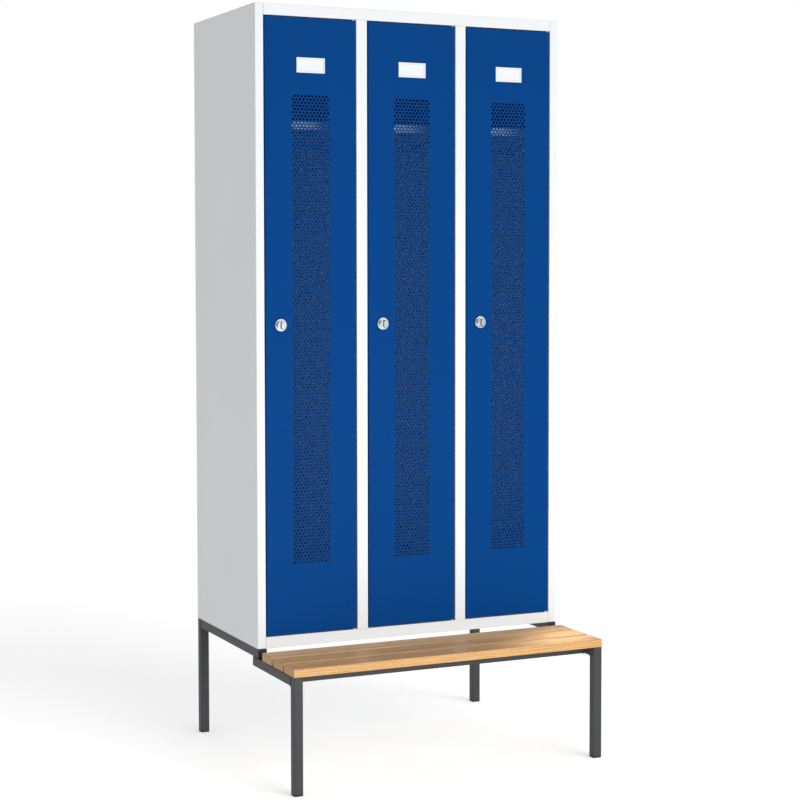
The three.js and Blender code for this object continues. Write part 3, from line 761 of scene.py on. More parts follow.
def make_finish(slot):
    """The finish of one of the record's slots."""
    colours = bpy.context.scene.locker_finishes
    makers = {
        "carcass_paint": lambda: powder_coat(
            "light_grey_powder_coat", colours.carcass, roughness=0.5, specular=0.25
        ),
        "door_paint": lambda: powder_coat(
            "gentian_blue_powder_coat", colours.door, roughness=0.45, specular=0.03
        ),
        "frame_paint": lambda: powder_coat(
            "anthracite_powder_coat", colours.frame, roughness=0.5, specular=0.3
        ),
        "zinc_plate": lambda: zinc_plate(colours.zinc),
        "lock_chrome": lambda: satin_chrome(colours.chrome),
        "beech": lambda: bench_finish(colours),
        "label_plastic": lambda: moulded_plastic(
            "white_moulded_polystyrene", colours.plastic, roughness=0.45, specular=0.4
        ),
        "label_card": lambda: blank_card(colours.card),
        "foot_plastic": lambda: moulded_plastic(
            "black_moulded_polyethylene", colours.rubber, roughness=0.55, specular=0.4
        ),
    }
    if slot not in makers:
        raise RuntimeError(f"no finish is written for the slot {slot}")
    return makers[slot]()


FINISHES = {}


def finish_for(slot):
    """The finish of a slot, made once."""
    if slot not in FINISHES:
        FINISHES[slot] = make_finish(slot)
    return FINISHES[slot]


# Carcass

def side_panel(node, side, sizes):
    """Rear flange, side wall and box stile, folded from one sheet, as a section carried upwards."""
    low, high, _ = span(node)
    half = sizes.sheet / 2
    outer = low[X] if side < 0 else high[X]
    stile = high[X] - low[X]
    stile_back = low[Y] + sizes.stile_depth - half
    rear = high[Y] - half
    inward = np.array([
        (sizes.rear_flange, rear),
        (half, rear),
        (half, low[Y] + half),
        (stile - half, low[Y] + half),
        (stile - half, stile_back),
        (sizes.sheet + sizes.fold_gap, stile_back),
    ])
    corners = np.stack([outer - side * inward[:, 0], inward[:, 1]], 1)
    line = bent_line(corners, sizes.bend + half, sizes.bend_steps)
    dress_node(node, folded_sheet(line, sizes.sheet, (low[Z], high[Z]), (X, Y, Z)), sizes.edge_round)


def opening_heights(sizes):
    """The heights between which the doors and the visible stiles stand."""
    return span("bottom_panel")[0][Z] + sizes.front_rail, span("top_panel")[1][Z] - sizes.front_rail


def partition_panel(node, sizes):
    """Rear flange, web and a box stile that the sheet runs round. The stile ends between the front
    rails, and only the web goes on behind them."""
    low, high, middle = span(node)
    half = sizes.sheet / 2
    stile_half = (high[X] - low[X]) / 2 - half
    stile_back = low[Y] + sizes.stile_depth - half
    rear = high[Y] - half
    corners = np.array([
        (sizes.rear_flange, rear),
        (0, rear),
        (0, stile_back),
        (-stile_half, stile_back),
        (-stile_half, low[Y] + half),
        (stile_half, low[Y] + half),
        (stile_half, stile_back),
        (half + sizes.fold_gap, stile_back),
    ]) + np.array([middle[X], 0])
    line = bent_line(corners, sizes.bend + half, sizes.bend_steps)
    foot, head = opening_heights(sizes)
    stations = np.array([low[Z], foot + sizes.notch_gap, head - sizes.notch_gap, high[Z]])
    keep = np.ones((len(line) - 1, 3), bool)
    behind = (line[:-1, 1] + line[1:, 1]) / 2 > stile_back + 2 * sizes.bend
    keep[:, 0] = behind
    keep[:, 2] = behind
    dress_node(node, folded_sheet(line, sizes.sheet, stations, (X, Y, Z), keep), sizes.edge_round)


def rail_panel(node, up, sizes):
    """The top or bottom panel: over the whole footprint, down into the front rail and on into the lip
    that the doors stop on, notched for the stiles."""
    low, high, _ = span(node)
    half = sizes.sheet / 2
    outer_face = high[Z] if up > 0 else low[Z]
    rail_face = outer_face - up * sizes.front_rail
    panel_line = outer_face - up * half
    lip = low[Y] + sizes.stop_line
    corners = np.array([
        (high[Y], panel_line),
        (low[Y] + half, panel_line),
        (low[Y] + half, rail_face + up * half),
        (lip, rail_face + up * half),
        (lip, low[Z] if up > 0 else high[Z]),
    ])
    line = bent_line(corners, sizes.bend + half, sizes.bend_steps)
    end = span("side_panel_left")[1][X] + sizes.notch_gap
    inner = []
    for partition in numbered("partition"):
        stile_low, stile_high, _ = span(partition)
        inner += [stile_low[X] - sizes.notch_gap, stile_high[X] + sizes.notch_gap]
    stations = np.array([low[X], end, *inner, -end, high[X]])
    middles = (line[:-1, 1] + line[1:, 1]) / 2
    panel_only = np.abs(middles - panel_line) < half
    without_lip = up * (middles - rail_face) > 0
    keep = np.ones((len(line) - 1, len(stations) - 1), bool)
    keep[:, [0, -1]] = panel_only[:, None]
    keep[:, 2:-1:2] = without_lip[:, None]
    dress_node(node, folded_sheet(line, sizes.sheet, stations, (Y, Z, X), keep), sizes.edge_round)


def flat_panel(node, sizes):
    """A flat sheet between the corners of its node."""
    low, high, middle = span(node)
    line = np.array([(low[X], middle[Y]), (high[X], middle[Y])])
    shape = folded_sheet(line, high[Y] - low[Y], (low[Z], high[Z]), (X, Y, Z))
    dress_node(node, shape, sizes.edge_round)


# A spot weld's mark: share of its radius, and millimetres over the sheet
WELD_SPOT_PROFILE = np.array([(1, -0.04), (0.95, 0.06), (0.7, 0.12), (0.45, 0.05), (0.2, 0.04)])


def back_weld_spots(sizes):
    """Marks of a spot welder down each rear flange, on the back panel's outer face: each a low dome
    of revolution that stands out by a tenth of a millimetre and has a shallow dish in its middle."""
    low, high, _ = span("back_panel")
    count = int((high[Z] - low[Z]) // sizes.weld_pitch)
    heights = np.linspace(low[Z] + sizes.weld_pitch / 4, high[Z] - sizes.weld_pitch / 4, count)
    half_flange = sizes.rear_flange / 2
    columns = [low[X] + half_flange, high[X] - half_flange]
    columns += [span(partition)[2][X] + half_flange for partition in numbered("partition")]
    profile = WELD_SPOT_PROFILE * np.array([sizes.weld_spot / 2, MM]) + np.array([0, high[Y]])
    places = [np.array([column, high[Y], height]) for column in columns for height in heights]
    return joined(*(lathe(profile, place, Y, sides=16) for place in places))


class LOCKER_OT_carcass(bpy.types.Operator):
    """Side panels, partitions, top and bottom, each folded from one sheet, and the flat back panel"""

    bl_idname = "locker.carcass"
    bl_label = "Carcass"

    def execute(self, context):
        sizes = context.scene.locker_sheet
        for end, side in SIDES:
            side_panel(f"side_panel_{end}", side, sizes)
        for partition in numbered("partition"):
            partition_panel(partition, sizes)
        rail_panel("top_panel", 1, sizes)
        rail_panel("bottom_panel", -1, sizes)
        flat_panel("back_panel", sizes)
        add_detail("back_weld_spots", back_weld_spots(sizes), "carcass_paint")
        return {"FINISHED"}


# Compartment fittings

def hat_shelf(node, sizes):
    """A tray folded down on four sides: rounded rectangles drawn in along the fold's section."""
    low, high, middle = span(node)
    outer = sizes.bend + sizes.sheet
    top = high[Z]
    fold = np.array([outer, top - outer])
    profile = np.concatenate([
        arc_points(fold, outer, 90, 180, sizes.bend_steps),
        [(0, low[Z]), (sizes.sheet, low[Z])],
        arc_points(fold, sizes.bend, 180, 90, sizes.bend_steps),
    ])
    half = (high - low) / 2
    loops = tray_loops(half[X], half[Y], outer, profile, middle[:2], (X, Y, Z))
    dress_node(node, lofted(loops))


# A pan-head screw with a round recess: radius and height, as shares of the head's radius
SCREW_SHARES = np.array([
    (0.36, 0.25), (0.4, 0.62), (0.55, 0.66), (0.8, 0.56), (0.96, 0.3), (1.0, 0.0), (1.0, -0.1),
])


def screw_shape(place, axis, outward, radius):
    """A screw's head, turned about its axis: it stands out of the surface at the place."""
    profile = SCREW_SHARES * np.array([radius, outward * radius]) + np.array([0, place[axis]])
    return lathe(profile, place, axis, sides=24)


# The cup at a coat rail's end: radius and distance from the wall, as shares of the rail's radius
CUP_SHARES = np.array([
    (1.01, 0), (1.9, 0), (1.9, 0.16), (1.82, 0.22), (1.4, 0.26), (1.3, 0.4), (1.28, 1.2), (1.2, 1.26),
    (1.01, 1.26),
])
CUP_SCREW_FACE_SHARE = 0.2
CUP_SCREW_PLACE_SHARE = 1.6
CUP_SCREW_SHARE = 0.22


def coat_rail(node, sizes):
    """A tube with its bore, and at each end a flanged cup that is screwed to the wall."""
    low, high, middle = span(node)
    radius = (high[Z] - low[Z]) / 2
    bore = radius - sizes.rail_wall
    ends = [(radius, low[X]), (radius, high[X]), (bore, high[X]), (bore, low[X])]
    dress_node(node, lathe(ends, middle, X, sides=32, ring=True))
    cups = []
    for wall, inward in ((low[X], 1), (high[X], -1)):
        profile = CUP_SHARES * np.array([radius, inward * radius]) + np.array([0, wall])
        cups.append(lathe(profile, middle, X, sides=32, ring=True))
        face = wall + inward * CUP_SCREW_FACE_SHARE * radius
        for sign in (-1, 1):
            height = middle[Z] + sign * CUP_SCREW_PLACE_SHARE * radius
            place = np.array([face, middle[Y], height])
            cups.append(screw_shape(place, X, inward, CUP_SCREW_SHARE * radius))
    add_detail(node + "_cups", joined(*cups), "zinc_plate")


def strap_ends(line, half_width, steps=6, blunt_share=0.985):
    """The line with points added near both ends, and how wide the strap is at each point, as a
    share, so that its ends are half round. The very ends keep a little width, so that no face there
    shrinks to a line."""
    drop = half_width * (1 - np.cos(np.linspace(0, math.pi / 2, steps + 1)))
    reach = np.concatenate([[0], np.cumsum(np.linalg.norm(np.diff(line, axis=0), axis=1))])
    total = reach[-1]
    places = np.unique(np.round(np.concatenate([reach, drop, total - drop]), 9))
    fuller = np.stack([np.interp(places, reach, line[:, 0]), np.interp(places, reach, line[:, 1])], 1)
    from_end = np.minimum(places, total - places)
    inside = np.clip((half_width - from_end) / half_width, 0, blunt_share)
    return fuller, np.sqrt(1 - inside ** 2)


def coat_hook(node, sizes):
    """A strap bent into a saddle with a prong on each side, half round at both ends."""
    low, high, middle = span(node)
    half = sizes.strap / 2
    foot = low[Z] + half
    reach = (high[X] - low[X]) / 2 - half
    saddle = sizes.saddle / 2
    corners = np.array([
        (-reach, foot + sizes.prong),
        (-reach, foot),
        (-saddle, foot),
        (-saddle, high[Z] - half),
        (saddle, high[Z] - half),
        (saddle, foot),
        (reach, foot),
        (reach, foot + sizes.prong),
    ]) + np.array([middle[X], 0])
    half_width = (high[Y] - low[Y]) / 2
    line, width = strap_ends(bent_line(corners, sizes.strap_bend + half, steps=10), half_width)
    stations = np.linspace(-half_width, half_width, 5)
    points, faces = folded_sheet(line, sizes.strap, stations, (X, Z, Y), narrowing=width)
    points[:, Y] += middle[Y]
    dress_node(node, (points, faces), sizes.strap_round)
    screws = [
        screw_shape(
            np.array([middle[X] + sign * sizes.hook_screw_reach, middle[Y], high[Z] - sizes.strap]),
            Z, -1, sizes.hook_screw / 2,
        )
        for sign in (-1, 1)
    ]
    add_detail(node + "_screws", joined(*screws), "zinc_plate")


class LOCKER_OT_fittings(bpy.types.Operator):
    """Hat shelf, coat rail and double hook in each compartment"""

    bl_idname = "locker.fittings"
    bl_label = "Compartment fittings"

    def execute(self, context):
        for node in numbered("hat_shelf"):
            hat_shelf(node, context.scene.locker_sheet)
        for node in numbered("coat_rail"):
            coat_rail(node, context.scene.locker_fittings)
        for node in numbered("coat_hook"):
            coat_hook(node, context.scene.locker_fittings)
        return {"FINISHED"}


# Doors

HOLE_SIDES = 12
BARREL_SIDES = 36


def punched_field(sizes, height):
    """The ventilated field, flat, about its own middle: rows of round holes, each row moved on by
    half a pitch. A hole has its own cell, a rectangle of one pitch by one row, whose twelve rim
    points are joined to the twelve of the hole; half cells without a hole end the shorter rows.
    Returns the flat faces' points, the faces, the holes' rims and the field's outline."""
    pitch = sizes.pitch
    row = pitch * math.sqrt(3) / 2
    rows = int((height - sizes.field_foot - sizes.field_head) // row)
    row_middle = (np.arange(rows) - (rows - 1) / 2) * row
    long_row = (np.arange(sizes.columns) - (sizes.columns - 1) / 2) * pitch
    short_row = (np.arange(sizes.columns - 1) - (sizes.columns - 2) / 2) * pitch
    centres = np.concatenate([
        np.stack(np.meshgrid(long_row, row_middle[0::2]), -1).reshape(-1, 2),
        np.stack(np.meshgrid(short_row, row_middle[1::2]), -1).reshape(-1, 2),
    ])
    quarter, half, rise = pitch / 4, pitch / 2, row / 2
    upper = [(half, 0), (half, rise), (quarter, rise), (0, rise), (-quarter, rise), (-half, rise)]
    rim = np.array(upper + [(-x, -y) for x, y in upper])
    hole = circle(sizes.hole / 2, HOLE_SIDES)
    count = len(centres)
    points = (centres[:, None, None, :] + np.stack([rim, hole])[None]).reshape(-1, 2)
    index = np.arange(count * 2 * HOLE_SIDES).reshape(count, 2, HOLE_SIDES)
    outer, inner = index[:, 0], index[:, 1]
    cells = np.stack([outer, np.roll(outer, -1, 1), np.roll(inner, -1, 1), inner], -1).reshape(-1, 4)
    edge = sizes.columns * half
    half_cell = np.array([
        (0, -rise), (quarter, -rise), (half, -rise), (half, 0),
        (half, rise), (quarter, rise), (0, rise), (0, 0),
    ])
    short_middles = row_middle[1::2]
    at_left = half_cell[None] + np.stack([0 * short_middles - edge, short_middles], 1)[:, None, :]
    at_right = at_left[:, ::-1] * np.array([-1, 1])
    ends = np.concatenate([at_left, at_right]).reshape(-1, 2)
    end_faces = len(points) + np.arange(len(ends)).reshape(-1, len(half_cell))
    across = np.arange(4 * sizes.columns) * quarter - edge
    upwards = np.arange(2 * rows) * rise - rows * rise
    outline = np.concatenate([
        np.stack([across, 0 * across - rows * rise], 1),
        np.stack([0 * upwards + edge, upwards], 1),
        np.stack([-across, 0 * across + rows * rise], 1),
        np.stack([0 * upwards - edge, -upwards], 1),
    ])
    return np.concatenate([points, ends]), [cells, end_faces], inner, outline


def face_between(outline, *holes):
    """The flat face inside an outline and outside the holes, as triangles on their own points."""
    loops = [outline, *holes]
    points = np.concatenate(loops)
    starts = np.cumsum([0] + [len(loop) for loop in loops])
    rings = [list(range(first, last)) for first, last in zip(starts, starts[1:])]
    inside_only, epsilon, need_origins = 1, 1e-7, True
    corners = [Vector(point) for point in points.tolist()]
    found = delaunay_2d_cdt(corners, [], rings, inside_only, epsilon, need_origins)
    _, _, triangles, origins, _, inside = found
    original = np.array([origin[0] for origin in origins])
    wanted = np.array([list(triangle) for triangle, loop in zip(triangles, inside) if list(loop) == [0]])
    return points, original[wanted]


def door_skin(node, sizes, steps=4):
    """A pan of one sheet: its face is punched with the ventilated field and the hole for the lock,
    and its four edges turn back twice, to a lip."""
    low, high, middle = span(node)
    outer = sizes.bend + sizes.sheet
    face, inside = low[Y], low[Y] + sizes.sheet
    front, back = np.array([outer, face + outer]), np.array([outer, high[Y] - outer])
    profile = np.concatenate([
        arc_points(front, outer, 270, 180, steps),
        arc_points(back, outer, 180, 90, steps),
        [(sizes.lip, high[Y]), (sizes.lip, high[Y] - sizes.sheet)],
        arc_points(back, sizes.bend, 90, 180, steps),
        arc_points(front, sizes.bend, 180, 270, steps),
    ])
    half = (high - low) / 2
    centre = middle[[X, Z]]
    loops = tray_loops(half[X], half[Z], sizes.corner, profile, centre, (X, Z, Y))
    points, (walls, *_) = lofted(loops)
    flat_edge = loops[0][:, [X, Z]] - centre
    height = high[Z] - low[Z]
    field_points, field_faces, hole_rims, field_edge = punched_field(sizes, height)
    shift = np.array([0, (sizes.field_foot - sizes.field_head) / 2])
    lock = np.array([sizes.lock_inset - half[X], sizes.lock_height - half[Z]])
    barrel = circle(sizes.barrel / 2, BARREL_SIDES) + lock
    rest_points, rest_faces = face_between(flat_edge, field_edge + shift, barrel)
    flat_points = np.concatenate([field_points + shift, rest_points, barrel]) + centre
    flat_faces = field_faces + [rest_faces + len(field_points)]
    barrel_rim = np.arange(BARREL_SIDES)[None] + len(field_points) + len(rest_points)
    count = len(flat_points)
    on_face = in_axes(flat_points[:, 0], flat_points[:, 1], np.full(count, face), (X, Z, Y))
    on_back = in_axes(flat_points[:, 0], flat_points[:, 1], np.full(count, inside), (X, Z, Y))
    faces = flat_faces + [group[:, ::-1] + count for group in flat_faces]
    for rims in (hole_rims, barrel_rim):
        following = np.roll(rims, -1, 1)
        faces.append(np.stack([rims, following, following + count, rims + count], -1).reshape(-1, 4)[:, ::-1])
    faces.append(walls[:, ::-1] + 2 * count)
    dress_node(node, weld(np.concatenate([on_face, on_back, points]), faces), crease=32)


def door_stiffener(node, sizes):
    """A hat section carried upwards behind the door's face."""
    low, high, middle = span(node)
    half = sizes.sheet / 2
    foot, crown = low[Y] + half, high[Y] - half
    reach = (high[X] - low[X]) / 2
    crown_half = reach - sizes.stiffener_foot
    corners = np.array([
        (-reach, foot),
        (-crown_half, foot),
        (-crown_half, crown),
        (crown_half, crown),
        (crown_half, foot),
        (reach, foot),
    ]) + np.array([middle[X], 0])
    line = bent_line(corners, sizes.bend + half, steps=4)
    dress_node(node, folded_sheet(line, sizes.sheet, (low[Z], high[Z]), (X, Y, Z)), sizes.edge_round)


class LOCKER_OT_doors(bpy.types.Operator):
    """Door pans with their ventilated fields, and the stiffeners behind them"""

    bl_idname = "locker.doors"
    bl_label = "Doors"

    def execute(self, context):
        sizes = context.scene.locker_doors
        for node in numbered("door_skin"):
            door_skin(node, sizes)
        for node in numbered("door_stiffener"):
            door_stiffener(node, sizes)
        return {"FINISHED"}


class LOCKER_OT_labels(bpy.types.Operator):
    """Label holders and their blank cards"""

    bl_idname = "locker.labels"
    bl_label = "Labels"

    def execute(self, context):
        sizes = context.scene.locker_doors
        for node in numbered("label_holder"):
            merged_copy(node, sizes.holder_round)
        for node in numbered("label_card"):
            merged_copy(node, sizes.card_round)
        return {"FINISHED"}


# Locks and hinge pins

def smooth_step(value):
    """0 below 0, 1 above 1, and 3v² - 2v³ between."""
    value = np.clip(value, 0, 1)
    return value * value * (3 - 2 * value)


def lock_housing(node, sizes):
    """A rosette with a rounded rim and its barrel, turned in one piece round the spindle's bore."""
    low, high, middle = span(node)
    radius = (high[X] - low[X]) / 2
    rim, chamfer = sizes.rosette_round, 0.3 * MM
    flat = 0.8 * radius
    front, back = low[Y], low[Y] + sizes.rosette_depth - sizes.fit
    bore = sizes.spindle / 2 + sizes.fit
    barrel = bpy.context.scene.locker_doors.barrel / 2 - sizes.fit
    profile = np.concatenate([
        [(bore, front + chamfer), (bore + chamfer, front), (flat, front)],
        arc_points((radius - rim, front + rim), rim, 270, 360, steps=6),
        [(radius, back), (barrel, back), (barrel, high[Y]), (bore, high[Y])],
    ])
    dress_node(node, lathe(profile, middle, Y, sides=64, ring=True), crease=30)


def lock_knob(node, housing, cam, sizes):
    """A turned knob and spindle whose face carries a straight grip. The face is a height over a polar
    grid: the grip's height times a smooth step across it and one towards the rim."""
    low, high, middle = span(node)
    radius = (high[X] - low[X]) / 2
    rim, edge, chamfer = sizes.knob_round, 0.4 * MM, 0.6 * MM
    side_foot, side_slope = 1.0 * MM, 1.6 * MM
    end_foot, end_slope = 2.0 * MM, 3.0 * MM
    rings, least_share = 26, 0.02
    back = span(housing)[0][Y] - sizes.fit
    shoulder = span(cam)[0][Y] - sizes.fit
    skirt_front = back - sizes.knob_skirt
    grip_height = skirt_front - low[Y]
    spindle, tip = sizes.spindle / 2, sizes.spindle_tip / 2
    turned = np.concatenate([
        [(tip - chamfer, high[Y]), (tip, high[Y] - chamfer), (tip, shoulder), (spindle, shoulder)],
        [(spindle, back), (radius - edge, back), (radius, back - edge)],
        arc_points((radius - rim, skirt_front + rim), rim, 0, -90, steps=6),
    ])
    face_radius = (radius - rim) * np.linspace(1, least_share, rings)[1:]
    round_line = circle(1, sides=96)
    body = turned[:, None, 0, None] * round_line[None]
    face = face_radius[:, None, None] * round_line[None]
    flat = np.concatenate([body, face])
    across = smooth_step((sizes.grip / 2 + side_foot - np.abs(face[..., 0])) / side_slope)
    lengthwise = smooth_step((radius - end_foot - np.linalg.norm(face, axis=-1)) / end_slope)
    relief = skirt_front - grip_height * across * lengthwise
    depth = np.concatenate([turned[:, 1, None] + 0 * body[..., 0], relief])
    loops = in_axes(flat[..., 0] + middle[X], flat[..., 1] + middle[Z], depth, (X, Z, Y))
    dress_node(node, lofted(loops), crease=50)


def lock_cam(node, sizes):
    """A plate between an outline of two arcs and the round hole for the spindle. Both loops have the
    same count of points, half of them above and half below."""
    low, high, middle = span(node)
    head, tip = (high[X] - low[X]) / 2, sizes.cam_tip / 2
    edge = 0.3 * MM
    steps = 18
    centre = np.array([middle[X], high[Z] - head])
    outline = np.concatenate([
        arc_points(centre, head, 0, 180, steps),
        arc_points((middle[X], low[Z] + tip), tip, 180, 360, steps),
    ])
    angles = np.radians(np.concatenate([np.linspace(0, 179, steps + 1), np.linspace(181, 359, steps + 1)]))
    hole = centre + (sizes.spindle_tip / 2 + sizes.fit) * np.stack([np.cos(angles), np.sin(angles)], 1)
    flat = np.stack([outline, outline, hole, hole])
    depth = np.array([low[Y], high[Y], high[Y], low[Y]])[:, None] + 0 * flat[..., 0]
    loops = in_axes(flat[..., 0], flat[..., 1], depth, (X, Z, Y))
    dress_node(node, lofted(loops, ring=True), edge)


def hinge_pin(node, at_top, sizes):
    """A shouldered pin turned about +Z: shank in the door, head riveted over the rail's sheet, and
    on the lower pin the collar that the door stands on."""
    low, high, middle = span(node)
    shank, thick = sizes.pin / 2, sizes.pin_head_height
    chamfer, rim, dome = 0.5 * MM, 0.7 * MM, 0.8 * MM
    if at_top:
        head = (high[X] - low[X]) / 2
        profile = [
            (shank - chamfer, low[Z]), (shank, low[Z] + chamfer), (shank, high[Z] - thick),
            (head, high[Z] - thick), (head, high[Z] - rim), (head - dome, high[Z]),
        ]
    else:
        head, collar = sizes.pin_head / 2, sizes.collar / 2
        collar_head = span("door_skin_1")[0][Z] - sizes.fit
        collar_foot = collar_head - sizes.collar_height
        profile = [
            (head - dome, low[Z]), (head, low[Z] + rim), (head, low[Z] + thick),
            (shank, low[Z] + thick), (shank, collar_foot), (collar, collar_foot),
            (collar, collar_head), (shank, collar_head), (shank, high[Z] - chamfer),
            (shank - chamfer, high[Z]),
        ]
    dress_node(node, lathe(profile, middle, Z, sides=32))


class LOCKER_OT_locks(bpy.types.Operator):
    """Rosettes, knobs and cams of the rotary locks"""

    bl_idname = "locker.locks"
    bl_label = "Locks"

    def execute(self, context):
        sizes = context.scene.locker_fittings
        for housing, knob, cam in zip(numbered("lock_housing"), numbered("lock_knob"), numbered("lock_cam")):
            lock_housing(housing, sizes)
            lock_knob(knob, housing, cam, sizes)
            lock_cam(cam, sizes)
        return {"FINISHED"}


class LOCKER_OT_hinge_pins(bpy.types.Operator):
    """The two pins that each door turns on"""

    bl_idname = "locker.hinge_pins"
    bl_label = "Hinge pins"

    def execute(self, context):
        for node in numbered("hinge_pin_top"):
            hinge_pin(node, True, context.scene.locker_fittings)
        for node in numbered("hinge_pin_bottom"):
            hinge_pin(node, False, context.scene.locker_fittings)
        return {"FINISHED"}


# Under-frame

def tube(node, axis, sizes):
    """A square tube with its bore: outer and inner rounded rectangles at both of its ends."""
    low, high, middle = span(node)
    first, second = [other for other in (X, Y, Z) if other != axis]
    half, wall, corner = (high - low) / 2, sizes.tube_wall, sizes.tube_corner
    outer = rounded_rectangle(half[first], half[second], corner, steps=5)
    inner = rounded_rectangle(half[first] - wall, half[second] - wall, corner - wall, steps=5)
    flat = np.stack([outer, outer, inner, inner]) + middle[[first, second]]
    place = np.array([low[axis], high[axis], high[axis], low[axis]])[:, None] + 0 * flat[..., 0]
    loops = in_axes(flat[..., 0], flat[..., 1], place, (first, second, axis))
    dress_node(node, lofted(loops, ring=True))


def glide(node, sizes):
    """A moulded cap under a leg, with its plug inside the tube."""
    low, high, middle = span(node)
    half = (high - low) / 2
    leg = node.replace("foot_rear", "rear_leg").replace("foot_front", "front_leg")
    cap_top = span(leg)[0][Z] - sizes.fit
    plug = sizes.tube_wall + sizes.fit
    rise, rim, foot_round, lead_in = 0.3 * MM, 0.4 * MM, 1.2 * MM, 1.5 * MM
    corner = sizes.tube_corner + 0.8 * MM
    profile = np.array([
        (foot_round, low[Z]), (rim, low[Z] + rise), (0, low[Z] + foot_round), (0, cap_top - rim),
        (rim, cap_top), (plug, cap_top), (plug, high[Z] - lead_in), (plug + lead_in, high[Z]),
    ])
    loops = tray_loops(half[X], half[Y], corner, profile, middle[:2], (X, Y, Z))
    dress_node(node, lofted(loops))


# The plug in a tube's open end: inset from the tube's outside and distance past its end
END_PLUG_PROFILE = MM * np.array([
    (2.4, 1.5), (0.9, 1.2), (0.25, 0.7), (0, 0.2), (0, 0.02), (1.9, 0.02), (1.9, -9), (2.6, -10),
])


def end_plug(name, tube_node, outward, sizes):
    """A moulded plug in the open end of a tube along Y, with a rounded flange over the tube's end."""
    low, high, middle = span(tube_node)
    half = (high - low) / 2
    end = low[Y] if outward < 0 else high[Y]
    profile = END_PLUG_PROFILE * np.array([1, outward]) + np.array([0, end])
    loops = tray_loops(half[X], half[Z], sizes.tube_corner, profile, middle[[X, Z]], (X, Z, Y))
    add_detail(name, lofted(loops), "foot_plastic")


BEAD_RADIUS = 1.5 * MM
BEAD_END_SHARE = 0.35
BEAD_STEP = 0.6 * MM
RIPPLE_PITCH = 2.4 * MM
RIPPLE_SHARE = 0.1


def weld_bead(path, normal):
    """A fillet of weld along a path in the plane that the normal stands on: circles square to the
    path, whose radius swells with each ripple and shrinks towards both ends."""
    reach = np.concatenate([[0], np.cumsum(np.linalg.norm(np.diff(path, axis=0), axis=1))])
    places = np.linspace(0, reach[-1], max(6, int(reach[-1] / BEAD_STEP)))
    line = np.stack([np.interp(places, reach, path[:, axis]) for axis in (X, Y, Z)], 1)
    along = unit(np.gradient(line, axis=0))
    aside = unit(np.cross(along, normal))
    upright = np.cross(aside, along)
    from_end = np.minimum(places, reach[-1] - places) / (3 * BEAD_RADIUS)
    radius = BEAD_RADIUS * (BEAD_END_SHARE + (1 - BEAD_END_SHARE) * smooth_step(from_end))
    radius = radius * (1 + RIPPLE_SHARE * np.sin(2 * math.pi * places / RIPPLE_PITCH))
    ring = circle(1, sides=10)
    loops = line[:, None] + radius[:, None, None] * (
        ring[None, :, 0, None] * aside[:, None] + ring[None, :, 1, None] * upright[:, None]
    )
    return lofted(loops)


def joint_bead(node, axis, place):
    """The bead round three sides of a tube where its end meets the next one; the top stays clear."""
    low, high, middle = span(node)
    across = X if axis == Y else Y
    half = (high[across] - low[across]) / 2
    clear_top, turn = 3 * MM, 2 * MM
    head = high[Z] - clear_top
    corners = np.array([
        (middle[across] - half, head),
        (middle[across] - half, low[Z]),
        (middle[across] + half, low[Z]),
        (middle[across] + half, head),
    ])
    flat = bent_line(corners, turn, steps=4)
    path = in_axes(flat[:, 0], flat[:, 1], np.full(len(flat), place), (across, Z, axis))
    return weld_bead(path, np.eye(3)[axis])


def frame_beads():
    """The beads of the whole under-frame: tube ends on legs and rails, and the lap of the two rails."""
    beads = []
    rail_margin, seat_margin = 5 * MM, 4 * MM
    for end, side in SIDES:
        seat_rail, locker_rail = f"seat_rail_{end}", f"locker_rail_{end}"
        seat_low, seat_high, _ = span(seat_rail)
        rail_low, rail_high, _ = span(locker_rail)
        beads.append(joint_bead(seat_rail, Y, seat_low[Y]))
        beads.append(joint_bead(locker_rail, Y, rail_high[Y]))
        for cross in ("rear_cross_tube", "seat_front_rail"):
            cross_low, cross_high, _ = span(cross)
            beads.append(joint_bead(cross, X, cross_low[X] if side < 0 else cross_high[X]))
        lap = np.array([rail_low[Y] + rail_margin, seat_high[Y] - seat_margin])
        height = (rail_low[Z] + seat_high[Z]) / 2
        for face in (seat_low[X], seat_high[X]):
            path = in_axes(np.full(2, face), lap, np.full(2, height), (X, Y, Z))
            beads.append(weld_bead(path, np.eye(3)[Z]))
    return joined(*(outwards(*bead) for bead in beads))


class LOCKER_OT_underframe(bpy.types.Operator):
    """Legs, rails and cross tubes of square tube, with glides, end plugs and weld beads"""

    bl_idname = "locker.underframe"
    bl_label = "Under-frame"

    def execute(self, context):
        sizes = context.scene.locker_fittings
        for end, _ in SIDES:
            tube(f"rear_leg_{end}", Z, sizes)
            tube(f"front_leg_{end}", Z, sizes)
            tube(f"locker_rail_{end}", Y, sizes)
            tube(f"seat_rail_{end}", Y, sizes)
            glide(f"foot_rear_{end}", sizes)
            glide(f"foot_front_{end}", sizes)
            end_plug(f"locker_rail_plug_{end}", f"locker_rail_{end}", -1, sizes)
            end_plug(f"seat_rail_plug_{end}", f"seat_rail_{end}", 1, sizes)
        tube("rear_cross_tube", X, sizes)
        tube("seat_front_rail", X, sizes)
        add_detail("frame_weld_beads", frame_beads(), "frame_paint")
        return {"FINISHED"}


# Bench

